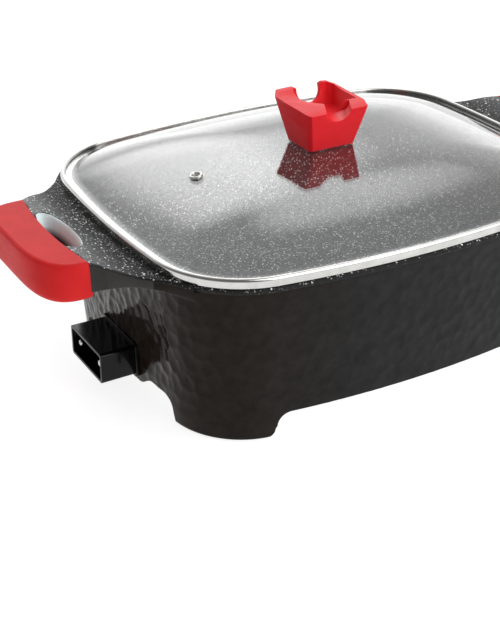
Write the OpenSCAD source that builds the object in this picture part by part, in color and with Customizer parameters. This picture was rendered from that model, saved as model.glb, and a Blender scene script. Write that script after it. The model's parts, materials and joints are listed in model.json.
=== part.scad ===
// Electric skillet: a deep cast pan with four corner legs, a sealed heating element
// under its floor, a plug-in control inlet on one end, and a lift-off domed glass lid.
// +Z is up, X runs from handle to handle, the front long side faces -Y, and the origin
// is on the table under the middle of the pan. Left is -X, front is -Y.

/* [Plan outline] */
// Length of the lid over its steel rim
lid_l = 400; // [392:1:410]
// Width of the lid over its steel rim
lid_w = 322; // [314:1:332]
// Radius of the four corners in plan
corner_r = 78; // [70:1:84]
// Radius of the bowed long sides in plan
side_bow_r = 850; // [700:10:1100]
// Radius of the bowed short ends in plan
end_bow_r = 850; // [700:10:1100]

/* [Pan] */
// Height of the cooking floor above the table
floor_h = 58; // [57:0.5:64]
// Depth of the cooking space
pan_depth = 81; // [76:1:90]
// Thickness of the cast floor
floor_t = 5; // [4.5:0.5:7]
// Thickness of the cast walls
wall_t = 4; // [3:0.5:5]
// Radius between the floor and the walls inside
floor_r = 18; // [8:1:24]
// How far the flange reaches past the lid
flange_over = 3; // [2:0.5:4]
// Thickness of the flange
flange_t = 4; // [3:0.5:5]
// How far the wall stands inside the lid's edge at the flange
inset_top = 3; // [2:0.5:4]
// How far the wall stands inside the lid's edge at the table
inset_foot = 14; // [10:0.5:16]

/* [Legs] */
// Height of the openings between the legs
arch_h = 22; // [18:0.5:23]
// Distance from the lid's end to the opening in a long side
leg_l = 75; // [72:1:90]
// Distance from the lid's side to the opening in a short end
leg_w = 79; // [75:1:85]
// Radius in the top corners of the openings
arch_r = 11; // [6:1:13]
// Height of the wall's lip under the inlet
lip_h = 11.5; // [8:0.5:13]
// Radius of the post inside each leg
post_r = 8; // [6:0.5:9]
// Distance from the lid's end to a post's middle
post_end = 50; // [47:1:54]
// Distance from the lid's side to a post's middle
post_side = 55; // [52:1:58]
// Thickness of a foot pad under its post
pad_t = 3; // [2:0.5:5]
// Thickness of a foot pad's wall round its post
pad_wall = 2.4; // [1.5:0.1:3]
// How far the pads hold the legs off the table
leg_lift = 1; // [0.5:0.1:1.5]

/* [Handles] */
// Distance from the lid's end to the finger gap in an ear
gap_out = 26.5; // [25:0.5:28]
// Width of the finger gap in the cast ear
gap_w = 19; // [17:0.5:22]
// Length of the finger gap
gap_l = 73; // [66:1:82]
// Thickness of a grip from its inner edge to its outer side
grip_t = 33; // [30:0.5:38]
// Width of a grip from front to back
grip_w = 132; // [124:1:136]
// How much further in a grip's ends start than its middle
grip_bow = 5.5; // [3:0.5:7]
// Height of a grip's top above the pan's flange
grip_rise = 9; // [6:0.5:11]
// Height of a grip from its top to its underside
grip_h = 31.5; // [28:0.5:34]
// Thickness of the rubber over the cast ear
rubber_t = 2.8; // [2.2:0.1:3.4]
// Half width of an ear where it leaves the flange
ear_root = 102; // [96:1:108]
// Half width of an ear's underside at the wall
ear_foot = 90; // [86:1:94]
// Distance from the lid's end to where an ear starts to rise
rise_out = 7; // [5:0.5:10]
// Thickness of an ear's walls round its hollow underside
ear_t = 5; // [4:0.5:6]

/* [Lid] */
// Thickness of the glass
glass_t = 4; // [3.5:0.1:5]
// Rise of the glass from its edge to its middle
dome_h = 26.6; // [16:0.2:30]
// Height of the steel rim above the pan's flange
rim_h = 8; // [7.5:0.5:10]
// How far the rim's skirt drops into the pan
skirt_drop = 11; // [6:0.5:14]
// Gap between the rim's skirt and the pan's wall
skirt_gap = 1.6; // [1:0.1:2.5]
// Thickness of the rim's skirt
rim_t = 0.9; // [0.7:0.1:1.2]
// Thickness of the rim under the glass
rim_floor = 1.7; // [1.2:0.1:2]
// How far the rim's lip covers the glass
rim_lip = 4.2; // [3.5:0.1:5]
// Distance of the steam vent from the lid's middle
vent_x = 117; // [105:1:125]
// Radius of the steam hole
vent_hole_r = 1.8; // [1:0.1:2.2]
// Radius of the eyelet's barrel in the glass
vent_barrel_r = 3.2; // [2.8:0.1:4]
// Radius of the eyelet's rolled edge
vent_edge_r = 5.6; // [5:0.1:8]

/* [Knob] */
// Height of the knob's walls
knob_h = 35.5; // [33:0.5:38]
// How far the knob's two back corners stand up above its walls
horn_h = 2.8; // [1.5:0.1:4]
// Length of the knob's top
knob_top_l = 60; // [57:0.5:64]
// How far the knob's top reaches to the front
knob_front = 29.5; // [28:0.5:31]
// How far the knob's top reaches to the back
knob_back = 34; // [32.5:0.5:36]
// Length of the knob's base
knob_base_l = 44.5; // [42:0.5:47]
// Width of the knob's base
knob_base_w = 36.5; // [35:0.5:39]
// Half width of the front notch for a spoon's handle
notch_r = 10.5; // [9:0.5:11]
// Depth of the front notch
notch_depth = 10; // [8:0.5:11]
// How far left of the knob's middle the front notch starts
notch_left = 2.5; // [1:0.5:4]
// Angle between the front notch and the knob's sides
notch_turn = 27; // [20:1:30]
// Half width of the back notch
back_notch_r = 11.5; // [10:0.5:12]
// Depth of the back notch
back_notch_depth = 12.5; // [11:0.5:13]
// Distance from the knob's right side to the middle of the back notch
back_notch_side = 25; // [24:0.5:26]
// Thickness of the knob at the left of the pocket between the notches
pocket_wall_left = 15; // [13.5:0.5:16]
// Thickness of the wall at the right of the pocket
pocket_wall_right = 3.5; // [3:0.5:5]
// Thickness of the knob in front of the pocket
pocket_wall_front = 20; // [18.5:0.5:21.5]
// Thickness of the wall behind the pocket
pocket_wall_back = 4.5; // [4:0.5:6]
// Depth of the pocket between the notches
pocket_depth = 14.5; // [12:0.5:15.5]
// Radius of the knob's screw
knob_screw_r = 2.4; // [2:0.1:2.6]
// Length of the brass insert in the knob
insert_l = 12; // [8:0.5:13]
// Wall of the brass insert
insert_wall = 2; // [1.5:0.1:2.5]
// Thickness of each soft washer on the glass
washer_t = 1; // [0.6:0.1:1.5]

/* [Inlet] */
// Height of the inlet's middle above the table
inlet_z = 32.2; // [31.5:0.1:33]
// Width of the inlet housing
inlet_w = 59; // [57:0.5:62]
// Height of the inlet housing
inlet_h = 26.6; // [25:0.2:27.4]
// How far the inlet's mouth stands outside the lid's end
inlet_out = 20; // [16:0.5:24]
// Thickness of the housing's walls
inlet_wall = 2.5; // [2:0.1:3]
// Thickness of the wall behind the inlet's recess
back_wall = 6.2; // [5:0.1:8]
// Distance from the lid's end to the seat cut for the collar
seat_in = 12.8; // [12.4:0.1:14]
// Thickness of the end wall behind that seat
seat_wall = 6.2; // [5:0.1:8]
// Thickness of the collar between the housing and the pan
collar_t = 3.6; // [3:0.1:5]
// How far the collar reaches past the housing on every side
collar_over = 3.5; // [2.5:0.1:4]
// Distance between the two terminal pins
pin_spacing = 38.1; // [37:0.1:39]
// Radius of a terminal pin
pin_r = 2.8; // [2.5:0.1:3]
// Free length of a terminal pin
pin_l = 20.5; // [16:0.5:21]
// Radius of a terminal pin's shank
shank_r = 2; // [1.6:0.1:2.2]
// Radius of the hole for the control's probe
probe_r = 3.4; // [3:0.1:3.6]
// Depth of the hole for the control's probe
probe_depth = 76; // [70:1:79]
// Wall of the tube that guides the probe
sleeve_t = 1.2; // [0.8:0.1:1.4]

/* [Heating] */
// Radius of the heating element's tube
element_r = 3.75; // [3.4:0.05:4]
// Distance from the lid's right end to the element's loop
loop_end = 82; // [76:1:95]
// Distance from the lid's sides to the element's loop
loop_side = 73; // [69:1:79]
// Radius of the element's bends
bend_r = 20; // [16:1:22]
// Height of the bottom cover above the table
cover_z = 24; // [23.6:0.1:24.4]
// Thickness of the bottom cover's sheet
cover_t = 1; // [0.8:0.1:1.4]
// Height of the bottom cover's turned-up edge
cover_edge = 8; // [5:0.5:9]
// Gap between the element and the heat shield under it
shield_gap = 9.5; // [8:0.5:10.5]
// Distance from the lid's edge to the heat shield
shield_in = 38; // [34:1:42]
// Thickness of the heat shield's sheet
shield_t = 0.8; // [0.5:0.1:1.2]
// Distance from the lid's edge to the cover's screws
cover_screw_in = 50; // [47:1:54]
// Distance of the cover's side screws from the middle of the pan
cover_screw_x = 80; // [60:1:90]
// Distance of the cover's end screws from the middle of the pan
cover_screw_y = 50; // [40:1:60]
// Length of a cover screw under its head
cover_screw_l = 11; // [8:0.5:14]
// Distance of the element's clamps from the middle of the pan
clamp_x = 45; // [35:1:55]
// Width of a clamp along the element
clamp_w = 12; // [9:0.5:16]
// Length of a clamp's screw under its head
clamp_screw_l = 5.5; // [4.5:0.5:6]
// Radius of the small screws' shanks
screw_r = 1.6; // [1.4:0.1:1.8]
// Length of the air slots in the bottom cover
slot_l = 70; // [50:1:90]
// Width of an air slot
slot_w = 4; // [3:0.5:5]
// Distance between two air slots
slot_pitch = 14; // [10:1:18]

/* [Hidden] */
$fn = 48;

eps = 0.01;
far = 400;                          // longer than the whole pan
fit = 0.15;                         // clearance round pieces that are fixed
thread_gap = 0.05;                  // clearance round a screw in its thread
half_l = lid_l / 2;
half_w = lid_w / 2;
pan_h = floor_h + pan_depth;

// Plan outline: bowed ends and sides with corner arcs tangent to both
side_c = [0, half_w - side_bow_r];
end_c = [half_l - end_bow_r, 0];
side_d = side_bow_r - corner_r;
end_d = end_bow_r - corner_r;
centre_gap = norm(end_c - side_c);
along = (side_d * side_d - end_d * end_d + centre_gap * centre_gap) / (2 * centre_gap);
across = sqrt(side_d * side_d - along * along);
toward = (end_c - side_c) / centre_gap;
corner_c = side_c + along * toward + across * [toward[1], -toward[0]];
end_angle = atan2(corner_c[1] - end_c[1], corner_c[0] - end_c[0]);
side_angle = atan2(corner_c[1] - side_c[1], corner_c[0] - side_c[0]);

function arc(c, r, a0, a1, n) =
    [for (k = [0 : n]) c + r * [cos(a0 + (a1 - a0) * k / n), sin(a0 + (a1 - a0) * k / n)]];
function flip(pts, sx, sy) = [for (p = pts) [sx * p[0], sy * p[1]]];
function back(pts) = [for (k = [len(pts) - 1 : -1 : 0]) pts[k]];
function tail(pts) = [for (k = [1 : len(pts) - 1]) pts[k]];
function head(pts) = [for (k = [0 : len(pts) - 2]) pts[k]];

// One quarter of the outline, from the +X end to the +Y side, moved inwards by d
function quarter(d) = concat(arc(end_c, end_bow_r - d, 0, end_angle, 3),
    tail(arc(corner_c, corner_r - d, end_angle, side_angle, 8)),
    tail(arc(side_c, side_bow_r - d, side_angle, 90, 4)));
function outline(d) = concat(quarter(d), tail(back(flip(quarter(d), -1, 1))),
    tail(flip(quarter(d), -1, -1)), tail(head(back(flip(quarter(d), 1, -1)))));

// Heights and insets of the casting
floor_low = floor_h - floor_t;
flange_low = pan_h - flange_t;
wall_top = flange_low - 1.5;
function wall_inset(z) = inset_top + (inset_foot - inset_top) * (wall_top - z) / wall_top;
mouth_inset = inset_top + wall_t;

// Ears and grips, drawn for the right-hand end
gap_x = half_l + gap_out;
gap_cover = 2.5;                    // how far a grip covers the gap's far side
grip_x = gap_x + gap_w - gap_cover;
grip_reach = grip_x + grip_t;
rise_x = half_l + rise_out;
grip_top = pan_h + grip_rise;
grip_low = grip_top - grip_h;
ear_top = grip_top - 0.4;           // the ear beside a grip is almost flush with it
ear_low = grip_low + 7;             // lower edge of the ear's side beside a grip
ear_half = grip_w / 2 - 0.5;
ear_x = grip_x - grip_bow;          // where a grip's ends meet the ear
bar_x = ear_x - 8;                  // where the bar inside a grip starts
oblong_x = grip_x - 3;              // where the round end of a grip starts
function arc_radius(half_chord, rise) = (half_chord * half_chord + rise * rise) / (2 * rise);
grip_inner_r = arc_radius(grip_w / 2, grip_bow);
rise_points = [[0, 0], [0.14, 0.07], [0.36, 0.27], [0.62, 0.58], [0.85, 0.87], [1, 1]];

// Half of a rounded oblong that bulges towards +X, closed at x0; a low power makes it squarer
function half_oblong(reach, half, power, x0) = concat(
    [for (t = [-90 : 7.5 : 90]) [oblong_x + (reach - oblong_x) * pow(max(cos(t), 0), power),
                                 half * sign(t) * pow(abs(sin(t)), power)]],
    [[x0, half], [x0, -half]]);

// Legs and feet
arch_x = half_l - leg_l;
arch_y = half_w - leg_w;
arch_slant = 2;                     // an opening's sides lean in by this at its top
leg_signs = [[-1, -1], [1, -1], [-1, 1], [1, 1]];
post_x = half_l - post_end;
post_y = half_w - post_side;
pad_h = pad_t + 4;
rib_t = 4;                          // rib between a post and the corner
leg_room = 2.5;                     // clearance of the sheets round a post

// Underside fittings
cover_top = cover_z + cover_t;
cover_points = concat(
    [for (sx = [-1, 1], sy = [-1, 1]) [sx * cover_screw_x, sy * (half_w - cover_screw_in)]],
    [for (sy = [-1, 1]) [half_l - cover_screw_in, sy * cover_screw_y]]);
cover_gap = 1.5;
boss_r = 6;
shoulder_r = 9;
head_r = 3.4;
small_head_r = 2.9;
head_h = 2.2;
slot_count = 7;
slot_x = 20;                        // middle of the row of air slots
loop_x = half_l - loop_end;
loop_y = half_w - loop_side;
element_z = floor_low - element_r - fit;
shield_z = element_z - element_r - shield_gap - shield_t;
clamp_t = 1.5;
clamp_reach = element_r + clamp_t + small_head_r + 2.85;   // from the tube's axis to a clamp's screw
clamp_boss_low = element_z + clamp_t;
clamp_boss_r = 4.5;

// Inlet: x is measured towards the left end, so these are negative
mouth_x = -half_l - inlet_out;
seat_x = half_l - seat_in;
collar_x = -seat_x - collar_t;
recess_x = collar_x - back_wall;
inner_face_x = -seat_x + seat_wall; // inner face of the thickened end wall
block_x = inner_face_x + 5;         // inner end of the terminal block
seal_l = 8;
seal_x = block_x + seal_l;
nose = [inlet_w, inlet_h] - [5.6, 6.2];
window = nose + 4 * [fit, fit];
collar_size = [inlet_w, inlet_h] + 2 * [collar_over, collar_over];
sleeve_r = probe_r + sleeve_t;
probe_end_x = recess_x + probe_depth;
probe_boss_l = 38;                  // length of the boss that presses on the probe's tube
shield_left = probe_end_x + 9;
cold_x = seal_x + 8;                // where the element's cold ends start to rise
rise_angle = acos(1 - (element_z - inlet_z) / (2 * bend_r));
rise_run = 2 * bend_r * sin(rise_angle);
pin_y = pin_spacing / 2;
pin_tip = 1.5;                      // length of a pin's tapered end
seal_r = element_r + 0.9;
inlet_screw_y = (sleeve_r + pin_y - seal_r) / 2;    // midway between the probe's sleeve and a seal
cross_x = cold_x + rise_run + 5 + bend_r;

// Lid heights and the glass dome
rim_top = pan_h + rim_h;
skirt_inset = mouth_inset + skirt_gap;
glass_inset = 1.2;
glass_edge_z = pan_h + rim_floor + 0.1;
flat_s = 0.955;                     // the glass is flat outside this share of its size
cap_s = 0.12;                       // and inside this one
ring_count = 9;
ring_step = (flat_s - cap_s) / ring_count;
glass_outline = outline(glass_inset);
function dome(s) = s >= flat_s ? 0 : s <= cap_s ? dome_h
    : dome_h * (1 - pow((s - cap_s) / (flat_s - cap_s), 2.5));
function scaled(s) = [for (p = glass_outline) s * p];
dome_top = glass_edge_z + glass_t + dome_h;
dome_low = glass_edge_z + dome_h;
glass_reach = half_l - glass_inset;
vent_s = vent_x / glass_reach;
vent_ring = cap_s + ring_step * floor((vent_s - cap_s) / ring_step);
vent_slope = (dome(vent_ring + ring_step) - dome(vent_ring)) / (ring_step * glass_reach);
vent_z = glass_edge_z + glass_t + dome(vent_ring) + vent_slope * (vent_s - vent_ring) * glass_reach;
vent_tilt = atan(vent_slope);

// Stack of pieces on the knob's screw
knob_z = dome_top + washer_t;
glass_hole_r = knob_screw_r + 0.8;
insert_r = knob_screw_r + insert_wall;
lower_z = dome_low - washer_t;
screw_washer_t = 1;
knob_head_h = 3;
knob_head_z = lower_z - screw_washer_t - knob_head_h;

// Sides of the knob's pocket and the middle of its back notch, measured from the knob's middle
pocket_left = knob_top_l / 2 - pocket_wall_left;
pocket_right = knob_top_l / 2 - pocket_wall_right;
pocket_front = knob_front - pocket_wall_front;
pocket_back = knob_back - pocket_wall_back;
back_notch_right = knob_top_l / 2 - back_notch_side;

black = [0.07, 0.07, 0.075];
speckled = [0.2, 0.2, 0.21];
red = [0.75, 0.07, 0.07];
steel = [0.75, 0.76, 0.77];
ceramic_white = [0.9, 0.88, 0.82];

// Stands same-sized outlines on top of each other; each layer is [points, height]
module skin(layers) {
    n = len(layers[0][0]);
    m = len(layers);
    pts = [for (layer = layers) for (p = layer[0]) [p[0], p[1], layer[1]]];
    sides = [for (k = [0 : m - 2]) for (i = [0 : n - 1]) for (upper = [false, true])
        let (a = k * n + i, b = k * n + (i + 1) % n, c = b + n, d = a + n)
        upper ? [a, c, b] : [a, d, c]];
    low_face = [for (i = [0 : n - 1]) i];
    high_face = [for (i = [n - 1 : -1 : 0]) (m - 1) * n + i];
    polyhedron(pts, concat([low_face, high_face], sides));
}

// Solid through the plan outline at [inset, height] pairs
module loft(rings) {
    skin([for (r = rings) [outline(r[0]), r[1]]]);
}

// A tube of radius r along points that never run straight up
module tube(path, r, sides) {
    n = len(path);
    pts = [for (k = [0 : n - 1]) let (
            run = path[min(k + 1, n - 1)] - path[max(k - 1, 0)],
            ahead = run / norm(run),
            level = cross([0, 0, 1], ahead) / norm(cross([0, 0, 1], ahead)),
            over = cross(ahead, level))
        for (i = [0 : sides - 1]) path[k] + r * (cos(360 * i / sides) * level + sin(360 * i / sides) * over)];
    walls = [for (k = [0 : n - 2]) for (i = [0 : sides - 1]) for (upper = [false, true])
        let (a = k * sides + i, b = k * sides + (i + 1) % sides, c = b + sides, d = a + sides)
        upper ? [a, c, b] : [a, d, c]];
    polyhedron(pts, concat(walls, [[for (i = [0 : sides - 1]) i]],
        [[for (i = [sides - 1 : -1 : 0]) (n - 1) * sides + i]]));
}

// Sweeps a closed [inset, height] section round the plan outline, upwards on its outside
module hoop(section) {
    n = len(outline(0));
    m = len(section);
    pts = [for (s = section) for (p = outline(s[0])) [p[0], p[1], s[1]]];
    polyhedron(pts, [for (k = [0 : m - 1]) for (i = [0 : n - 1]) for (upper = [false, true])
        let (a = k * n + i, b = k * n + (i + 1) % n, c = ((k + 1) % m) * n + (i + 1) % n,
             d = ((k + 1) % m) * n + i)
        upper ? [a, c, b] : [a, d, c]]);
}

module rounded(size, r) {
    square([size[0] - 2 * r, size[1]], center = true);
    square([size[0], size[1] - 2 * r], center = true);
    for (sx = [-1, 1], sy = [-1, 1])
        translate([sx * (size[0] / 2 - r), sy * (size[1] / 2 - r)]) circle(r);
}

// A slab across X with its section in Y and Z, from x0 to x1, at the inlet's height
module inlet_slab(x0, x1) {
    translate([x0, 0, inlet_z]) rotate([90, 0, 90]) linear_extrude(x1 - x0) children();
}

// A rod along X at height z
module rod_x(x0, x1, y, z, r) {
    translate([x0, y, z]) rotate([0, 90, 0]) cylinder(h = x1 - x0, r = r);
}

module mirrored(flipped) {
    if (flipped) mirror([1, 0, 0]) children();
    else children();
}

// The finger gap, made wider all round by g
module gap_oval(g, z0, z1) {
    translate([gap_x + gap_w / 2, 0, z0]) linear_extrude(z1 - z0)
        polygon([for (t = [0 : 9 : 351]) [(gap_w / 2 + g) * cos(t), (gap_l / 2 + g) * sin(t)]]);
}

module end_of_outline(d, half) {
    intersection() {
        polygon(outline(d));
        translate([half_l - 50, -half]) square([100, 2 * half]);
    }
}

// The web between the flange and a grip, with its top sweeping up from the flange
module ear_web() {
    intersection() {
        hull() {
            translate([ear_x - 1, -ear_half, ear_low]) cube([grip_bow + 1, 2 * ear_half, ear_top - ear_low]);
            translate([0, 0, flange_low]) linear_extrude(flange_t) end_of_outline(1 - flange_over, ear_root);
            translate([0, 0, ear_low - 6]) linear_extrude(1)
                end_of_outline(wall_inset(ear_low) + 1, ear_foot);
        }
        translate([0, half_w, 0]) rotate([90, 0, 0]) linear_extrude(2 * half_w) polygon(concat(
            [[half_l - 60, 0], [half_l - 60, pan_h]],
            [for (p = rise_points) [rise_x + p[0] * (ear_x - rise_x), pan_h + p[1] * (ear_top - pan_h)]],
            [[grip_x + 5, ear_top], [grip_x + 5, 0]]));
        translate([grip_x - fit - grip_inner_r, 0, 0]) cylinder(h = grip_top, r = grip_inner_r, $fn = 240);
    }
}

// The cast bar inside a grip, grown by g for the space that it takes there
module ear_bar(g) {
    top = grip_top - rubber_t + g;
    low = grip_low + rubber_t - g;
    half = grip_w / 2 - rubber_t + g;
    reach = grip_reach - rubber_t + g;
    hull() {
        translate([0, 0, low + 6]) linear_extrude(top - low - 6) polygon(half_oblong(reach, half, 0.8, bar_x));
        translate([0, 0, low]) linear_extrude(1) polygon(half_oblong(reach - 4, half - 4, 0.8, bar_x));
    }
}

// Hollow in the ear's underside, between the finger gap and the wall
module ear_hollow() {
    inner_x = half_l - 14;
    outer_x = bar_x - 1;
    low_half = [ear_foot - 19, ear_half - 18];
    high_half = [ear_root - 8.5, ear_half - 13];
    difference() {
        skin([[[[inner_x, -low_half[0]], [outer_x, -low_half[1]],
                [outer_x, low_half[1]], [inner_x, low_half[0]]], ear_low - 12],
              [[[inner_x, -high_half[0]], [outer_x, -high_half[1]],
                [outer_x, high_half[1]], [inner_x, high_half[0]]], pan_h - ear_t]]);
        gap_oval(ear_t, ear_low - 20, pan_h);
    }
}

module ears() {
    for (flipped = [false, true]) mirrored(flipped) difference() {
        union() {
            ear_web();
            ear_bar(0);
        }
        ear_hollow();
    }
}

// Section of the opening in a long side: straight legs with rounded top corners
module long_arch() {
    corner = [arch_x - arch_slant - arch_r, arch_h - arch_r];
    polygon(concat([[-arch_x, -1]], arc([-corner[0], corner[1]], arch_r, 180, 90, 6),
        arc(corner, arch_r, 90, 0, 6), [[arch_x, -1]]));
}

module short_arch() {
    corner = [arch_y - arch_slant - arch_r, arch_h - arch_r];
    polygon(concat([[-arch_y, -1]], arc([-corner[0], corner[1]], arch_r, 180, 90, 6),
        arc(corner, arch_r, 90, 0, 6), [[arch_y, -1]]));
}

// The same opening with a lip that hangs down under the inlet
module lipped_arch() {
    lip_start = inlet_w / 2 - 2.5;
    lip_run = 24;
    rise = [for (k = [0 : 6]) [lip_start + lip_run * k / 6,
                               lip_h + (arch_h - lip_h) * (1 - cos(180 * k / 6)) / 2]];
    half = concat([[0, -1], [0, lip_h]], rise,
        arc([arch_y - arch_slant - arch_r, arch_h - arch_r], arch_r, 90, 0, 6), [[arch_y, -1]]);
    polygon(half);
    polygon(flip(half, -1, 1));
}

module leg_openings() {
    translate([0, far / 2, 0]) rotate([90, 0, 0]) linear_extrude(far) long_arch();
    rotate([90, 0, 90]) linear_extrude(far) short_arch();
    translate([-far, 0, 0]) rotate([90, 0, 90]) linear_extrude(far) lipped_arch();
}

module posts() {
    for (s = leg_signs) {
        post = [s[0] * post_x, s[1] * post_y, 0];
        centre = [s[0] * corner_c[0], s[1] * corner_c[1], 0];
        out = post - centre;
        rib_l = corner_r - wall_inset(0) - wall_t / 2 - norm(out);
        translate(post + [0, 0, pad_t]) cylinder(h = floor_low + 1 - pad_t, r = post_r);
        translate(post) rotate(atan2(out[1], out[0]))
            translate([0, -rib_t / 2, pad_h + 1]) cube([rib_l, rib_t, floor_low - pad_h]);
    }
}

// Room for the posts and their ribs in a sheet between z0 and z0 + h
module leg_clearance(z0, h) {
    for (s = leg_signs) translate([s[0] * post_x, s[1] * post_y, z0]) {
        cylinder(h = h, r = post_r + leg_room);
        rotate(atan2(s[1] * (post_y - corner_c[1]), s[0] * (post_x - corner_c[0])))
            translate([0, -rib_t / 2 - 2, 0]) cube([corner_r, rib_t + 4, h]);
    }
}

module bosses() {
    for (p = cover_points) {
        translate([p[0], p[1], cover_top]) cylinder(h = floor_low + 1 - cover_top, r = boss_r);
        translate([p[0], p[1], shield_z + shield_t]) cylinder(h = floor_low + 1 - shield_z, r = shoulder_r);
    }
    clamp_places() translate([0, 0, clamp_boss_low])
        cylinder(h = floor_low + 1 - clamp_boss_low, r = clamp_boss_r);
    translate([probe_end_x + 2 - probe_boss_l, -sleeve_r - 4, inlet_z - sleeve_r])
        cube([probe_boss_l, 2 * sleeve_r + 8, floor_low + 1 - inlet_z + sleeve_r]);
    inlet_slab(-seat_x - eps, inner_face_x) rounded(collar_size + [4, 4], 4);
}

// The eight screw places of the four element clamps
module clamp_places() {
    for (sx = [-1, 1], sy = [-1, 1], side = [-1, 1])
        translate([sx * clamp_x, sy * loop_y + side * clamp_reach, 0]) children();
}

module pan_casting() color(speckled) difference() {
    union() {
        difference() {
            union() {
                loft([[wall_inset(leg_lift), leg_lift], [inset_top, wall_top],
                      [1 - flange_over, flange_low], [-flange_over, flange_low + 1],
                      [-flange_over, pan_h - 1], [1 - flange_over, pan_h]]);
                ears();
            }
            loft(concat([for (a = [0 : 15 : 90])
                    [wall_inset(floor_h + floor_r * (1 - cos(a))) + wall_t + floor_r * (1 - sin(a)),
                     floor_h + floor_r * (1 - cos(a))]],
                [[mouth_inset, wall_top], [mouth_inset, pan_h + 20]]));
            loft([[wall_inset(0) + wall_t, 0], [wall_inset(floor_low) + wall_t, floor_low]]);
        }
        posts();
        bosses();
    }
    leg_openings();
    for (flipped = [false, true]) mirrored(flipped) gap_oval(0, ear_low - 20, pan_h + 20);
    // Seat and window of the inlet
    inlet_slab(-far, -seat_x) rounded(collar_size + [2 * fit, 2 * fit], 3);
    inlet_slab(-far, inner_face_x + 1) rounded(window, 1);
    // Square channel that seats the probe's tube, open downwards
    translate([probe_end_x - probe_boss_l, -sleeve_r - fit / 2, inlet_z - sleeve_r - 1])
        cube([probe_boss_l + 3, 2 * sleeve_r + fit, 2 * sleeve_r + 1 + fit / 2]);
    // Blind screw holes
    for (p = cover_points) translate([p[0], p[1], cover_top - 1])
        cylinder(h = cover_screw_l + 3, r = screw_r + thread_gap);
    clamp_places() translate([0, 0, clamp_boss_low - 1])
        cylinder(h = clamp_screw_l - clamp_t + 2, r = screw_r + thread_gap);
}

// Silicone sleeve over the bar of an ear; each ring is [inset, height, power]
module grip(flipped) {
    half = grip_w / 2;
    mirrored(flipped) color(red) difference() {
        skin([for (r = [[8, grip_low, 0.7], [3.6, grip_low + 1.2, 0.66], [1, grip_low + 4.5, 0.62],
                        [0, grip_low + 9, 0.6], [0.2, grip_top - 12, 0.72], [0.7, grip_top - 4, 0.85],
                        [1.3, grip_top - 1.6, 0.9], [2.8, grip_top - 0.4, 0.9], [5, grip_top, 0.9]])
            [half_oblong(grip_reach - r[0], half - r[0], r[2], gap_x + 4), r[1]]]);
        translate([grip_x - grip_inner_r, 0, grip_low - 1])
            cylinder(h = grip_h + 2, r = grip_inner_r, $fn = 240);
        difference() {
            ear_bar(fit);
            gap_oval(-fit, grip_low - 10, grip_top + 10);
        }
    }
}

module grip_left() grip(true);
module grip_right() grip(false);

module foot_pad(s) {
    color(black) translate([s[0] * post_x, s[1] * post_y, 0]) difference() {
        cylinder(h = pad_h, r = post_r + fit + pad_wall);
        translate([0, 0, pad_t]) cylinder(h = pad_h, r = post_r + fit);
    }
}

module foot_pad_front_left() foot_pad(leg_signs[0]);
module foot_pad_front_right() foot_pad(leg_signs[1]);
module foot_pad_back_left() foot_pad(leg_signs[2]);
module foot_pad_back_right() foot_pad(leg_signs[3]);

module inlet_housing() color(black) difference() {
    inlet_slab(mouth_x, collar_x) rounded([inlet_w, inlet_h], 3);
    inlet_slab(mouth_x - 1, recess_x) rounded([inlet_w, inlet_h] - 2 * [inlet_wall, inlet_wall], 1.5);
    for (side = [-1, 1]) {
        rod_x(recess_x - 1, collar_x + 1, side * pin_y, inlet_z, shank_r + fit);
        rod_x(collar_x - 5, collar_x + 1, side * inlet_screw_y, inlet_z, screw_r + thread_gap);
    }
    rod_x(recess_x - 1, collar_x + 1, 0, inlet_z, sleeve_r + fit);
}

module inlet_collar() color(black) difference() {
    inlet_slab(collar_x, -seat_x) rounded(collar_size, 3);
    inlet_slab(collar_x - 1, -seat_x + 1) rounded(window, 1);
}

module terminal_block() color(ceramic_white) difference() {
    union() {
        inlet_slab(collar_x, inner_face_x + 1) rounded(nose, 1);
        inlet_slab(inner_face_x, block_x) rounded(nose + [10, 9], 2);
    }
    for (side = [-1, 1]) {
        rod_x(collar_x - 1, block_x + 1, side * pin_y, inlet_z, shank_r + fit);
        rod_x(collar_x - 1, block_x + 1, side * inlet_screw_y, inlet_z, screw_r + fit);
    }
    rod_x(collar_x - 1, block_x + 1, 0, inlet_z, sleeve_r + fit);
}

module terminal_pin(side) color(steel) {
    rod_x(recess_x - pin_l + pin_tip, recess_x, side * pin_y, inlet_z, pin_r);
    translate([recess_x - pin_l, side * pin_y, inlet_z]) rotate([0, 90, 0])
        cylinder(h = pin_tip, r1 = pin_r - 0.8 * pin_tip, r2 = pin_r);
    rod_x(recess_x, seal_x, side * pin_y, inlet_z, shank_r);
}

module terminal_pin_line() terminal_pin(1);
module terminal_pin_neutral() terminal_pin(-1);

module end_seal(side) color(ceramic_white) difference() {
    rod_x(block_x, seal_x, side * pin_y, inlet_z, seal_r);
    rod_x(block_x - 1, seal_x + 1, side * pin_y, inlet_z, shank_r + fit);
}

module end_seal_line() end_seal(1);
module end_seal_neutral() end_seal(-1);

module probe_sleeve() color([0.72, 0.6, 0.3]) difference() {
    rod_x(recess_x, probe_end_x + 1.5, 0, inlet_z, sleeve_r);
    rod_x(recess_x - 1, probe_end_x, 0, inlet_z, probe_r);
}

module inlet_screws() color(steel) for (side = [-1, 1]) {
    rod_x(collar_x - 4.5, block_x, side * inlet_screw_y, inlet_z, screw_r);
    rod_x(block_x, block_x + head_h, side * inlet_screw_y, inlet_z, small_head_r);
}

// Points of a bend of the element: centre c, from c + r * u towards c + r * v
function bend(c, u, v, angle, n) =
    [for (k = [0 : n]) c + bend_r * (cos(angle * k / n) * u + sin(angle * k / n) * v)];

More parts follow.
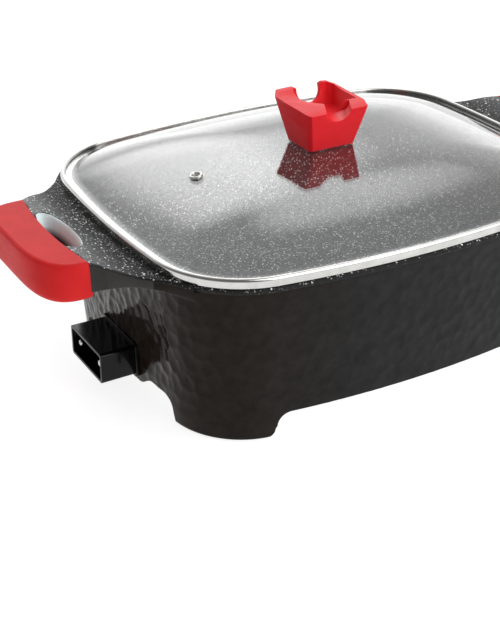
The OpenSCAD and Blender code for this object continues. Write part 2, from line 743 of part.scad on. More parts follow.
// Half of the heating element's middle line, from one terminal to the far side of its loop
function half_element() = let (
        x = [1, 0, 0], y = [0, 1, 0], z = [0, 0, 1],
        arm = loop_y - bend_r)
    concat([[seal_x, pin_y, inlet_z]],
        bend([cold_x, pin_y, inlet_z + bend_r], -z, x, rise_angle, 5),
        tail(back(bend([cold_x + rise_run, pin_y, element_z - bend_r], z, -x, rise_angle, 5))),
        bend([cross_x - bend_r, pin_y + bend_r, element_z], -y, x, 90, 6),
        bend([cross_x + bend_r, arm, element_z], -x, y, 90, 6),
        bend([loop_x - bend_r, arm, element_z], y, x, 90, 6));

module heating_element() color([0.35, 0.34, 0.33]) {
    half = half_element();
    tube(concat(half, back([for (p = half) [p[0], -p[1], p[2]]])), element_r, 10);
}

// Saddle clamps that hold the element against the floor
module element_clamps() color(steel) for (sx = [-1, 1], sy = [-1, 1])
    translate([sx * clamp_x, sy * loop_y, element_z]) difference() {
        union() {
            translate([-clamp_w / 2, 0, 0]) rotate([0, 90, 0]) cylinder(h = clamp_w, r = element_r + clamp_t);
            translate([-clamp_w / 2, -clamp_reach - 5, 0]) cube([clamp_w, 2 * clamp_reach + 10, clamp_t]);
        }
        translate([-clamp_w / 2 - 1, 0, 0]) rotate([0, 90, 0])
            cylinder(h = clamp_w + 2, r = element_r + fit / 2);
        translate([-clamp_w / 2 - 1, -element_r - clamp_t - 1, clamp_t])
            cube([clamp_w + 2, 2 * (element_r + clamp_t + 1), element_r + clamp_t]);
        for (side = [-1, 1]) translate([0, side * clamp_reach, -1]) cylinder(h = 4, r = screw_r + fit);
    }

module clamp_screws() color(steel) clamp_places() {
    translate([0, 0, element_z]) cylinder(h = clamp_screw_l, r = screw_r);
    translate([0, 0, element_z - head_h]) cylinder(h = head_h, r = small_head_r);
}

module heat_shield() color(steel) difference() {
    translate([0, 0, shield_z]) linear_extrude(shield_t) intersection() {
        polygon(outline(shield_in));
        translate([shield_left, -half_w]) square([half_l - shield_left, lid_w]);
    }
    for (p = cover_points) translate([p[0], p[1], shield_z - 1]) cylinder(h = shield_t + 2, r = boss_r + fit);
    leg_clearance(shield_z - 1, shield_t + 2);
}

module shield_spacers() color(steel) for (p = cover_points)
    translate([p[0], p[1], cover_top]) difference() {
        cylinder(h = shield_z - cover_top, r = boss_r + fit + 1.5);
        translate([0, 0, -1]) cylinder(h = shield_z - cover_top + 2, r = boss_r + fit);
    }

module bottom_cover() color(steel) {
    notch_room = 13;
    notch_w = collar_size[0] + 8;
    tube_slot_w = 2 * (sleeve_r + 6);
    rim_inset = wall_inset(cover_z) + wall_t + cover_gap;
    difference() {
        union() {
            translate([0, 0, cover_z]) linear_extrude(cover_t) polygon(outline(rim_inset));
            translate([0, 0, cover_z]) linear_extrude(cover_edge) difference() {
                polygon(outline(rim_inset));
                polygon(outline(rim_inset + cover_t));
            }
        }
        for (p = cover_points) translate([p[0], p[1], cover_z - 1]) cylinder(h = cover_t + 2, r = screw_r + 0.5);
        leg_clearance(cover_z - 1, cover_edge + 2);
        // Notch round the terminal block, with a slot along the probe's tube
        translate([-half_l, -notch_w / 2, cover_z - 1])
            cube([half_l + block_x + notch_room, notch_w, cover_edge + 2]);
        translate([block_x, -tube_slot_w / 2, cover_z - 1])
            cube([probe_end_x + 4 - block_x, tube_slot_w, cover_t + 2]);
        for (k = [0 : slot_count - 1])
            translate([slot_x + (k - (slot_count - 1) / 2) * slot_pitch, 0, cover_z - 1])
                linear_extrude(cover_t + 2) rounded([slot_w, slot_l], 0.48 * slot_w);
    }
}

module cover_screws() color(steel) for (p = cover_points) translate([p[0], p[1], cover_z]) {
    cylinder(h = cover_screw_l, r = screw_r);
    translate([0, 0, -head_h]) cylinder(h = head_h, r = head_r);
}

module lid_glass() color([0.8, 0.85, 0.85, 0.4]) {
    shares = concat([for (k = [0 : ring_count]) cap_s + ring_step * k], [1]);
    n = len(glass_outline);
    m = len(shares);
    top = [for (s = shares) for (p = scaled(s)) [p[0], p[1], glass_edge_z + glass_t + dome(s)]];
    low = [for (s = shares) for (p = scaled(s)) [p[0], p[1], glass_edge_z + dome(s)]];
    sides = [for (k = [0 : m - 2]) for (i = [0 : n - 1]) for (upper = [false, true])
        let (a = k * n + i, b = k * n + (i + 1) % n, c = b + n, d = a + n)
        upper ? [a, c, b] : [a, d, c]];
    edge = [for (i = [0 : n - 1]) for (upper = [false, true])
        let (a = (m - 1) * n + i, b = (m - 1) * n + (i + 1) % n, c = a + m * n, d = b + m * n)
        upper ? [c, b, d] : [c, a, b]];
    difference() {
        polyhedron(concat(top, low), concat(
            [for (f = sides) [f[0], f[2], f[1]]],
            [for (f = sides) [f[0] + m * n, f[1] + m * n, f[2] + m * n]],
            edge,
            [[for (i = [n - 1 : -1 : 0]) i]],
            [[for (i = [0 : n - 1]) m * n + i]]));
        translate([0, 0, dome_low - 1]) cylinder(h = glass_t + 2, r = glass_hole_r);
        at_vent() translate([0, 0, -glass_t - 2]) cylinder(h = glass_t + 4, r = vent_barrel_r + fit);
    }
}

// The vent's own frame: z = 0 on the glass's upper face, square to the glass
module at_vent() {
    translate([-vent_x, 0, vent_z]) rotate([0, vent_tilt, 0]) children();
}

module lid_rim() color(steel) {
    lip_z = glass_edge_z + glass_t + 0.1;
    hoop([[0, pan_h], [0, rim_top - 2.4], [0.5, rim_top - 1.1], [1.5, rim_top - 0.3],
          [2.6, rim_top], [rim_lip - 0.5, rim_top - 0.3], [rim_lip, rim_top - 1.1],
          [rim_lip, lip_z], [glass_inset - 0.2, lip_z], [glass_inset - 0.2, glass_edge_z - 0.1],
          [skirt_inset + rim_t, glass_edge_z - 0.1], [skirt_inset + rim_t, pan_h - skirt_drop],
          [skirt_inset, pan_h - skirt_drop], [skirt_inset, pan_h]]);
}

module vent_eyelet() color(steel) at_vent() difference() {
    union() {
        translate([0, 0, 0.1]) cylinder(h = 0.6, r1 = vent_edge_r, r2 = vent_edge_r - 0.5);
        translate([0, 0, -glass_t - 0.5]) cylinder(h = glass_t + 0.7, r = vent_barrel_r);
        translate([0, 0, -glass_t - 0.9]) cylinder(h = 0.6, r = vent_edge_r - 0.8);
    }
    translate([0, 0, -glass_t - 2]) cylinder(h = glass_t + 4, r = vent_hole_r);
}

// Plan of the knob with cut corners, as [along X, along Y] at the right front, right back, left back and left front
function knob_plan(half, front, back, cuts) = [
    [half, cuts[0][1] - front], [half, back - cuts[1][1]], [half - cuts[1][0], back], [cuts[2][0] - half, back],
    [-half, back - cuts[2][1]], [-half, cuts[3][1] - front], [cuts[3][0] - half, -front], [half - cuts[0][0], -front]];

// Plan of the pocket in the knob, drawn smaller towards its floor
function pocket_plan(x_share, y_share) = [for (p = [
    [pocket_right, -pocket_front - 1], [pocket_right, pocket_back - 4], [pocket_right - 4, pocket_back],
    [5.5 - pocket_left, pocket_back], [2 - pocket_left, 24], [-pocket_left, 15], [-pocket_left, 16.5 - pocket_front],
    [2 - pocket_left, 10 - pocket_front], [5.5 - pocket_left, 5 - pocket_front], [10.5 - pocket_left, -pocket_front]])
    [x_share * p[0], y_share * p[1]]];

// Section of a notch for a spoon's handle
module notch(r) polygon(concat(arc([0, 0], r, 180, 360, 16), [[r, 15], [-r, 15]]));

// Red knob with raised back corners, whose pocket and two notches also hold a spoon
module knob() color(red) difference() {
    top = knob_z + knob_h;
    horn = top + horn_h;
    half = knob_top_l / 2;
    plan = knob_plan(half, knob_front, knob_back, [[4.6, 13.5], [5, 5], [6, 9], [1.8, 6.8]]);
    skin([[knob_plan(knob_base_l / 2, knob_base_w / 2, knob_base_w / 2, [[3, 4], [3, 3], [3, 3], [2.8, 3]]), knob_z],
          [plan, top], [plan, horn]]);
    skin([[pocket_plan(0.88, 0.85), top - pocket_depth], [pocket_plan(1, 1), top], [pocket_plan(1, 1), horn + 1]]);
    translate([-notch_left, -knob_front, top - notch_depth + notch_r]) rotate([0, 0, -notch_turn])
        translate([0, 25, 0]) rotate([90, 0, 0]) linear_extrude(50) notch(notch_r);
    translate([back_notch_right, knob_back + 5, top - back_notch_depth + back_notch_r]) rotate([90, 0, 0])
        linear_extrude(18) notch(back_notch_r);
    // Above the walls only the back corners stay, with rounded tops
    translate([-knob_top_l, 0, 0]) rotate([90, 0, 90]) linear_extrude(2 * knob_top_l)
        polygon([[-knob_front - 1, top - 0.6], [12 - knob_front, top], [knob_back - 23, top],
                 [knob_back - 15, top + 0.2 * horn_h], [knob_back - 9, top + 0.65 * horn_h],
                 [knob_back - 5, horn + 0.05], [knob_back - 1.2, horn + 0.05], [knob_back + 1, horn - 2],
                 [knob_back + 1, horn + 5], [-knob_front - 1, horn + 5]]);
    translate([0, knob_back + 10, 0]) rotate([90, 0, 0]) linear_extrude(2 * knob_back + 20)
        polygon([[-half - 1, top], [2.5 - half, top + 0.3 * horn_h], [6 - half, top + 0.8 * horn_h],
                 [10.5 - half, horn + 0.05], [back_notch_right - back_notch_r - 3, horn + 0.05],
                 [back_notch_right - back_notch_r, top + 0.45 * horn_h], [back_notch_right + back_notch_r, top + 0.45 * horn_h],
                 [back_notch_right + back_notch_r + 2.6, horn + 0.05], [half - 10.5, horn + 0.05],
                 [half - 6, top + 0.8 * horn_h], [half - 2.5, top + 0.3 * horn_h], [half + 1, top],
                 [half + 1, horn + 5], [-half - 1, horn + 5]]);
    translate([0, 0, knob_z - 1]) cylinder(h = insert_l + 1.2, r = insert_r + fit / 2);
}

module knob_insert() color([0.75, 0.62, 0.3]) translate([0, 0, knob_z]) difference() {
    cylinder(h = insert_l, r = insert_r);
    translate([0, 0, -1]) cylinder(h = insert_l - 0.5, r = knob_screw_r + 0.05);
}

module washer(z, h, r, hole_r) {
    translate([0, 0, z]) difference() {
        cylinder(h = h, r = r);
        translate([0, 0, -1]) cylinder(h = h + 2, r = hole_r);
    }
}

module knob_gasket() color([0.15, 0.15, 0.15]) washer(dome_top, washer_t, 13, knob_screw_r + fit);
module lower_gasket() color([0.15, 0.15, 0.15]) washer(lower_z, washer_t, 10, knob_screw_r + fit);
module screw_washer() color(steel) washer(lower_z - screw_washer_t, screw_washer_t, 8, knob_screw_r + fit);

module knob_screw() color(steel) {
    translate([0, 0, knob_head_z]) cylinder(h = knob_head_h, r = 5.2);
    translate([0, 0, knob_head_z]) cylinder(h = knob_z + insert_l - 3 - knob_head_z, r = knob_screw_r);
}

pan_casting();
grip_left();
grip_right();
foot_pad_front_left();
foot_pad_front_right();
foot_pad_back_left();
foot_pad_back_right();
inlet_housing();
inlet_collar();
terminal_block();
terminal_pin_line();
terminal_pin_neutral();
end_seal_line();
end_seal_neutral();
probe_sleeve();
inlet_screws();
heating_element();
element_clamps();
clamp_screws();
heat_shield();
shield_spacers();
bottom_cover();
cover_screws();
lid_glass();
lid_rim();
vent_eyelet();
knob();
knob_insert();
knob_gasket();
lower_gasket();
screw_washer();
knob_screw();
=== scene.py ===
import json
import math

import bmesh
import bpy
import numpy as np
from mathutils import Matrix, Vector


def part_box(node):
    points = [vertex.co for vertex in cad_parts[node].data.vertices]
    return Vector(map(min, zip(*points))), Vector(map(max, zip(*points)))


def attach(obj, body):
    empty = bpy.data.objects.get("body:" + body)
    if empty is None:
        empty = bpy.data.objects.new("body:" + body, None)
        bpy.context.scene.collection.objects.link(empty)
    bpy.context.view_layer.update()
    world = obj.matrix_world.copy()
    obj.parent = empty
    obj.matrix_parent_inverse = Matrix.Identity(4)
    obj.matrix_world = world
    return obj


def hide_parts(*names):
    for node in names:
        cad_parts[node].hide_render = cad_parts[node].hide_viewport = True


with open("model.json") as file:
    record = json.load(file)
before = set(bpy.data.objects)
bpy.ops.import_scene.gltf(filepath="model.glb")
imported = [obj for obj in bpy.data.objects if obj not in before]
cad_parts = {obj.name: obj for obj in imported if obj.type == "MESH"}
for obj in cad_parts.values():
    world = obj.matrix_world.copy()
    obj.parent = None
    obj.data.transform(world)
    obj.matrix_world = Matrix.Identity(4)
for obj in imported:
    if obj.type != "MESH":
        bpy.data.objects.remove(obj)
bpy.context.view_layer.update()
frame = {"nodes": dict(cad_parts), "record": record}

MM = 0.001                          # shapes are worked out in millimetres, as in the part's source


def box(node):
    """Lowest and highest corners of a CAD node, in millimetres."""
    return [np.array(corner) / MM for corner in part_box(node)]


# ---------------------------------------------------------------- sizes, in millimetres
HALF_L, HALF_W, RIM_TOP = box("lid_rim")[1]     # lid over its rim, and the rim's top
PAN_H = RIM_TOP - 8                 # top of the flange
CORNER_R = 78                       # corners of the lid
BOW_R = 850                         # its sides and ends are slightly bowed

FLOOR_H = 58                        # upper and lower face of the pan's floor
FLOOR_LOW = 53
FLOOR_R = 18                        # fillet between floor and wall
WALL_T = 4
WALL_ROUND = 0.8                    # rounding of the wall's lower edge
FLANGE_T = 4
FLANGE_OVER = 1.4                   # how far the flange stands out past the lid
FLANGE_ROUND = 1.4                  # rounding of the flange's edge
WALL_TOP = PAN_H - FLANGE_T - 1.5
INSET_TOP = 3                       # outer wall inside the lid's outline, at its top and at the table
INSET_FOOT = 14
LEG_LIFT = 1                        # legs end this far above the table, on their pads
RING_STEP = 1.6                     # height between the rings of the hammered wall

ARCH_H = 22                         # openings between the legs
ARCH_X = HALF_L - 75
ARCH_Y = HALF_W - 79
ARCH_R = 11
ARCH_LEAN = 2
FOOT_R = 7                          # lower corners of the legs
LIP_H = 11.5                        # opening under the inlet: low in its middle, then rising
LIP_START = 27
LIP_RUN = 24

GRIP_LOW, GRIP_HIGH = box("grip_right")
GRIP_REACH, GRIP_HALF, GRIP_TOP = GRIP_HIGH
GRIP_BOTTOM = GRIP_LOW[2]
GRIP_BOW = 5.5                      # bow of a grip's inner edge
GRIP_X = GRIP_LOW[0] + GRIP_BOW
FAR_END_SHARE = 0.66                # share of the plan's power at a grip's far end, which is squarer
RUBBER_T = 2.8
GAP_X = HALF_L + 26.5               # finger gaps
GAP_HALF_W = 9.5
GAP_HALF_L = 36.5
GAP_WALL_LOW = 119

EAR_START = 184                     # ears, along X
EAR_END = 246
EAR_HOLLOW_END = 228
EAR_LOWEST = 110
PAST_EAR = 262                      # cuts at the grip's side reach this far out

INLET_Z = 32.2                      # middle of the inlet
SEAT_X = HALF_L - 12.8
PIN_Y = 19.05
PIN_BASE = 197                      # floor of the inlet's socket
SEAT = (62.9, 30.5, 3)              # width, height and corner radius
COLLAR = (62.6, 30.2, 3)
WINDOW = (54, 21, 1)
HOUSING = (59, 26.6, 3)
SOCKET = (54, 21.6, 1.5)
PAST_INLET = 240                    # cuts into the inlet start this far out, past its mouth


# ---------------------------------------------------------------- plan outline
def outline_table(n_end, n_corner, n_side):
    """Points of the lid's plan outline and the unit normals there, once round, anticlockwise."""
    side_c = np.array([0, HALF_W - BOW_R])
    end_c = np.array([HALF_L - BOW_R, 0])
    gap = np.linalg.norm(end_c - side_c)
    toward = (end_c - side_c) / gap
    away = BOW_R - CORNER_R
    across = math.sqrt(away ** 2 - gap ** 2 / 4)
    corner_c = side_c + gap / 2 * toward + across * np.array([toward[1], -toward[0]])
    end_angle = math.atan2(*(corner_c - end_c)[::-1])
    side_angle = math.atan2(*(corner_c - side_c)[::-1])
    points, normals = [], []
    for centre, radius, a0, a1, n in ((end_c, BOW_R, 0, end_angle, n_end),
                                      (corner_c, CORNER_R, end_angle, side_angle, n_corner),
                                      (side_c, BOW_R, side_angle, math.pi / 2, n_side)):
        for angle in np.linspace(a0, a1, n, endpoint=False):
            normal = np.array([math.cos(angle), math.sin(angle)])
            normals.append(normal)
            points.append(centre + radius * normal)
    points.append(np.array([0, HALF_W]))
    normals.append(np.array([0, 1]))
    loops = []
    for quarter in (np.array(points), np.array(normals)):
        half = np.concatenate([quarter, (quarter * (-1, 1))[-2::-1]])
        loops.append(np.concatenate([half, (half * (1, -1))[-2:0:-1]]))
    return loops


OUTLINE, NORMALS = outline_table(54, 66, 84)


def level(plan, z):
    """Points of a plan at height z."""
    flat = np.array(plan, float)
    return np.column_stack([flat, np.full(len(flat), float(z))])


def ring(inset, z):
    """The lid's outline drawn inset millimetres smaller, at height z."""
    return level(OUTLINE - inset * NORMALS, z)


def through(points, x):
    """Smooth curve through (x, y) points, read at x."""
    px, py = np.array(points, float).T
    slope = np.gradient(py, px)
    x = np.clip(x, px[0], px[-1])
    k = np.clip(np.searchsorted(px, x, side="right") - 1, 0, len(px) - 2)
    h = px[k + 1] - px[k]
    t = (x - px[k]) / h
    return ((1 + 2 * t) * (1 - t) ** 2 * py[k] + t * (1 - t) ** 2 * h * slope[k]
            + t * t * (3 - 2 * t) * py[k + 1] + t * t * (t - 1) * h * slope[k + 1])


# ---------------------------------------------------------------- mesh helpers
def new_object(name, points, faces):
    mesh = bpy.data.meshes.new(name)
    mesh.from_pydata((np.asarray(points, float) * MM).tolist(), [], faces)
    mesh.update()
    obj = bpy.data.objects.new(name, mesh)
    bpy.context.scene.collection.objects.link(obj)
    return obj


def loft(name, rings, closed=False):
    """Skin over rings of equal length.

    An open loft gets a face at each end; a closed one joins its last ring to its first.
    """
    n, m = len(rings[0]), len(rings)
    faces = []
    for k in range(m if closed else m - 1):
        low, high = k * n, (k + 1) % m * n
        faces += [(low + i, low + (i + 1) % n, high + (i + 1) % n, high + i) for i in range(n)]
    if not closed:
        faces += [tuple(range(n))[::-1], tuple(range((m - 1) * n, m * n))]
    return new_object(name, np.concatenate(rings), faces)


def prism(name, outline, z0, z1):
    return loft(name, [level(outline, z) for z in (z0, z1)])


def lathe(name, profile, sides=64):
    """Closed (radius, height) profile turned round Z; the profile runs upwards on its outside."""
    angle = np.arange(sides) / sides * 2 * math.pi
    round_z = np.column_stack([np.cos(angle), np.sin(angle)])
    return loft(name, [level(r * round_z, z) for r, z in profile], closed=True)


def arc(centre, r, a0, a1, n):
    """Points on an arc, from a0 to a1 degrees in n steps."""
    t = np.radians(np.linspace(a0, a1, n + 1))
    return [(centre[0] + r * math.cos(a), centre[1] + r * math.sin(a)) for a in t]


def circle(r, sides=24):
    return arc((0, 0), r, 0, 360 - 360 / sides, sides - 1)


def rounded_rectangle(w, h, r, n=8):
    x, y = w / 2 - r, h / 2 - r
    return (arc((x, y), r, 0, 90, n) + arc((-x, y), r, 90, 180, n)
            + arc((-x, -y), r, 180, 270, n) + arc((x, -y), r, 270, 360, n))


def mirrored(points):
    """The points of one half, from its end back to its start, on the other side of the middle line."""
    return [(-d, z) for d, z in points[::-1]]


def place(obj, matrix):
    obj.data.transform(matrix)
    if matrix.determinant() < 0:
        obj.data.flip_normals()
    return obj


def move(x, y, z):
    return Matrix.Translation(Vector((x, y, z)) * MM)


def turned(degrees, axis):
    return Matrix.Rotation(math.radians(degrees), 4, axis)


MIRROR_X = Matrix.Scale(-1, 4, (1, 0, 0))
STAND = turned(90, "X")             # drawn plane to the XZ plane, thickness towards -Y
STAND_END = turned(90, "Z") @ STAND             # drawn plane to the YZ plane, thickness towards +X
FACING_LEFT = turned(-90, "Y") @ turned(-90, "Z")       # drawn plane to the YZ plane, thickness towards -X


def on_inlet(obj, out=0, y=0):
    """Turns a piece of the inlet to the left; out and y are its place from the inlet's middle line."""
    return place(obj, move(-out, y, INLET_Z) @ FACING_LEFT)


def bake(obj):
    """Applies an object's modifiers."""
    graph = bpy.context.evaluated_depsgraph_get()
    mesh = bpy.data.meshes.new_from_object(obj.evaluated_get(graph))
    obj.modifiers.clear()
    old = obj.data
    obj.data = mesh
    bpy.data.meshes.remove(old)
    return obj


def combine(obj, other, operation):
    modifier = obj.modifiers.new("combine", "BOOLEAN")
    modifier.operation = operation
    modifier.solver = "MANIFOLD"
    modifier.object = other
    bake(obj)
    bpy.data.objects.remove(other)
    return obj


def cut(obj, other):
    return combine(obj, other, "DIFFERENCE")


def add(obj, other):
    return combine(obj, other, "UNION")


def bevel(obj, width, segments=3, angle=30):
    modifier = obj.modifiers.new("bevel", "BEVEL")
    modifier.width = width * MM
    modifier.segments = segments
    modifier.limit_method = "ANGLE"
    modifier.angle_limit = math.radians(angle)
    return bake(obj)


WIDE_FACE = 1e-3                    # square metres; faces this wide keep flat shading


def smooth(obj, angle=35):
    obj.data.shade_smooth()
    obj.data.set_sharp_from_angle(angle=math.radians(angle))
    for face in obj.data.polygons:
        face.use_smooth = face.area < WIDE_FACE
    return obj


def copy_of(node):
    """A new, closed mesh with a CAD node's shape; the node itself stays as it is."""
    mesh = frame["nodes"][node].data.copy()
    work = bmesh.new()
    work.from_mesh(mesh)
    bmesh.ops.remove_doubles(work, verts=work.verts, dist=1e-6)
    work.to_mesh(mesh)
    work.free()
    obj = bpy.data.objects.new(node + "_copy", mesh)
    bpy.context.scene.collection.objects.link(obj)
    return obj


# ---------------------------------------------------------------- hammered facets
FACET_W = 9.5                       # width, height and depth
FACET_H = 11.5
FACET_DEPTH = 0.8
FACET_STRAY = 0.42                  # how unevenly they are set, as a share of their size
FACET_EDGE = 0.7                    # squared distance from a facet's middle where its hollow ends
END_DEEPER = 0.9                    # how much deeper they are on the pan's ends
FACET_FADE = [14, 40, 122, 130], [0.1, 1, 1, 0]         # heights, and how strong the facets are there


def wall_inset(z):
    """How far the outer wall lies inside the lid's outline at height z."""
    return INSET_TOP + (INSET_FOOT - INSET_TOP) * (WALL_TOP - z) / WALL_TOP


def run_along():
    """Distance along the wall at each point of the outline, in whole facets once round."""
    flat = OUTLINE - (INSET_TOP + 5) * NORMALS
    steps = np.linalg.norm(np.roll(flat, -1, axis=0) - flat, axis=1)
    run = np.concatenate([[0], np.cumsum(steps)[:-1]])
    count = round(steps.sum() / FACET_W)
    return run / steps.sum() * count, count


RUN, RUN_COUNT = run_along()


def chance(column, row, seed):
    """Even spread from 0 to 1, the same for the same facet."""
    return np.mod(np.sin((column % RUN_COUNT) * 12.9898 + row * 78.233 + seed * 37.719) * 43758.5453, 1)


def facet_depth(z):
    """How far the wall lies back at height z, at each point of the outline: hollows that meet in ridges."""
    best, size = np.full(len(RUN), 9.0), np.zeros(len(RUN))
    for row in range(math.floor(z / FACET_H) - 1, math.floor(z / FACET_H) + 3):
        shift = 0.5 * (row % 2)
        for step in (-1, 0, 1, 2):
            column = np.floor(RUN - shift) + step
            x = column + shift + FACET_STRAY * (2 * chance(column, row, 1) - 1)
            y = row + FACET_STRAY * (2 * chance(column, row, 2) - 1)
            far = (RUN - x) ** 2 + (z / FACET_H - y) ** 2
            size = np.where(far < best, 0.7 + 0.6 * chance(column, row, 3), size)
            best = np.minimum(best, far)
    deep = FACET_DEPTH * (1 + END_DEEPER * NORMALS[:, 0] ** 2) * np.interp(z, *FACET_FADE)
    return deep * (FACET_EDGE - best) * size


# ---------------------------------------------------------------- the cast pan
def pan_shell_rings():
    """Rings of the pan's section: from under its floor down inside the skirt, up outside and into the pan."""
    foot = wall_inset(LEG_LIFT)
    rings = [ring(wall_inset(FLOOR_LOW) + WALL_T, FLOOR_LOW), ring(foot + WALL_T, LEG_LIFT + WALL_ROUND),
             ring(foot + WALL_T - WALL_ROUND, LEG_LIFT), ring(foot + WALL_ROUND, LEG_LIFT)]
    for z in np.arange(LEG_LIFT + WALL_ROUND, WALL_TOP, RING_STEP):
        rings.append(ring(wall_inset(z), z) - level(facet_depth(z)[:, None] * NORMALS, 0))
    low = PAN_H - FLANGE_T
    middle = -FLANGE_OVER + FLANGE_ROUND
    profile = [(INSET_TOP, WALL_TOP), (INSET_TOP - 0.8, WALL_TOP + 1), (INSET_TOP - 2.2, low)]
    for z, a0 in ((low + FLANGE_ROUND, -90), (PAN_H - FLANGE_ROUND, 0)):
        profile += [(middle - dx, z + dz) for dx, dz in arc((0, 0), FLANGE_ROUND, a0, a0 + 90, 4)]
    mouth = INSET_TOP + WALL_T
    profile += [(2, PAN_H), (mouth - 1.5, PAN_H), (mouth - 0.4, PAN_H - 0.5), (mouth, PAN_H - 1.6),
                (mouth, WALL_TOP)]
    for z in np.linspace(WALL_TOP, FLOOR_H + FLOOR_R, 10)[1:-1]:
        profile.append((wall_inset(z) + WALL_T, z))
    for a in range(90, -1, -6):
        z = FLOOR_H + FLOOR_R * (1 - math.cos(math.radians(a)))
        profile.append((wall_inset(z) + WALL_T + FLOOR_R * (1 - math.sin(math.radians(a))), z))
    for more in (3, 12, 25):        # a ring further in than the corners' radius would fold over
        profile.append((profile[-1][0] + more, FLOOR_H))
    return rings + [ring(inset, z) for inset, z in profile]


def foot_corner(half):
    """Rounding of a leg's lower corner beside an opening."""
    return arc((half - 0.5 + FOOT_R, LEG_LIFT + FOOT_R), FOOT_R, 180, 262, 8) + [(half + FOOT_R, -5)]


def arch_side(half):
    """Upper corner of an opening between two legs."""
    return arc((half - ARCH_LEAN - ARCH_R, ARCH_H - ARCH_R), ARCH_R, 90, 0, 10)


def arch(half):
    """Half outline of an opening between two legs, as (distance, height) from its middle."""
    return [(0, -5), (0, ARCH_H)] + arch_side(half) + foot_corner(half)


def lipped_arch(half):
    """Half outline of the opening under the inlet."""
    rise = []
    for share in np.arange(11) / 10:
        z = LIP_H + (ARCH_H - LIP_H) * (1 - math.cos(math.pi * share)) / 2
        rise.append((LIP_START + LIP_RUN * share, z))
    return [(0, -5), (0, LIP_H)] + rise + arch_side(half) + [(half, 0), (half, -5)]


def whole(half_outline):
    """Both halves of an outline that starts on the middle line; anticlockwise."""
    right = half_outline[1:]
    return [(-d, z) for d, z in right] + right[::-1][:-1]


# Half width of an ear, its upper and its lower face, each at places along X
EAR_EDGE = [(184, 122), (190, 113.6), (196, 104.5), (202, 98), (207, 93), (217.5, 84), (229, 75), (238.5, 66)]
EAR_TOP = [(184, PAN_H), (205, PAN_H), (211, PAN_H + 0.5), (218, PAN_H + 2.3), (226, PAN_H + 5),
           (233, PAN_H + 7.3), (238.5, PAN_H + 8.6)]
EAR_LOW = [(184, 128), (200, 130), (214, 130.5), (226, 128.5), (233, 126), (238.5, 123.5)]


def ear_section(x, inward=0.0, below=0.0, drop=0.0, round_r=2.2):
    """Closed section of an ear at x, in Y and Z; it can be drawn smaller for the hollow under it."""
    half = through(EAR_EDGE, x) - inward
    top = through(EAR_TOP, x) - drop
    low = through(EAR_LOW, x) - below
    r = min(round_r, (top - low) / 2.5)
    side = [(half - 0.8, low), (half, low + 0.8)] + arc((half - r, top - r), r, 0, 90, 5)
    flat = [(half * t, top) for t in np.linspace((half - r) / half, -(half - r) / half, 14)[1:-1]]
    return np.array([(x, y, z) for y, z in side + flat + mirrored(side)])


def ear(name, x0, x1, **how):
    return loft(name, [ear_section(x, **how) for x in np.arange(x0, x1 + 0.01, 1.5)])


def oval(grow, grow_l=None):
    """Plan of the right finger gap, drawn larger across and along."""
    t = np.arange(96) / 96 * 2 * math.pi
    half_l = GAP_HALF_L + (grow if grow_l is None else grow_l)
    return np.column_stack([GAP_X + GAP_HALF_W + (GAP_HALF_W + grow) * np.cos(t), half_l * np.sin(t)])


def oblong(reach, half, power):
    """Outer side of the right grip's plan: half of an oblong between an ellipse and a rectangle."""
    t = np.linspace(-math.pi / 2, math.pi / 2, 73)
    power = np.where(t > 0, FAR_END_SHARE * power, power)
    x0 = GRIP_X - 3
    return np.column_stack([x0 + (reach - x0) * np.clip(np.cos(t), 0, 1) ** power,
                            half * np.sign(t) * np.abs(np.sin(t)) ** power])


def grip_inner_x(y, out=0.0):
    """Inner edge of a grip at y; it is bowed towards the middle of the pan at its ends."""
    radius = (GRIP_HALF ** 2 + GRIP_BOW ** 2) / (2 * GRIP_BOW) + out
    return GRIP_X + out - radius + np.sqrt(radius ** 2 - np.clip(y, -GRIP_HALF, GRIP_HALF) ** 2)


def ear_bar():
    """The cast bar inside the right grip."""
    gap = RUBBER_T + 0.3
    start = GRIP_X - GRIP_BOW - 6
    rings = []
    for z, tuck in ((GRIP_BOTTOM + gap, 4), (GRIP_BOTTOM + gap + 6, 0), (GRIP_TOP - gap, 0)):
        half = GRIP_HALF - gap - tuck
        curve = oblong(GRIP_REACH - gap - tuck, half, 0.8)
        rings.append(level(np.concatenate([curve, [[start, half], [start, -half]]]), z))
    return loft("ear_bar", rings)


# How much larger than its plan the finger gap is across and along, and at which height above the flange
GAP_RINGS = [(-2.2, -6, -12), (-1.9, -5.7, -8), (-1.2, -5.2, -4), (-0.2, -4.7, -0.5), (1, -4.2, 2),
             (2.4, -3.7, 4), (4.2, -3.2, 5.6), (6, -2.6, 6.5), (7, -2, 12)]


def finger_gap():
    """Space of a finger gap; its wall leans back towards the top and ends in a rounded edge."""
    rings = [level(oval(*GAP_RINGS[0][:2]), GRIP_BOTTOM - 20)]
    rings += [level(oval(across, along), PAN_H + z) for across, along, z in GAP_RINGS]
    return loft("finger_gap", rings)


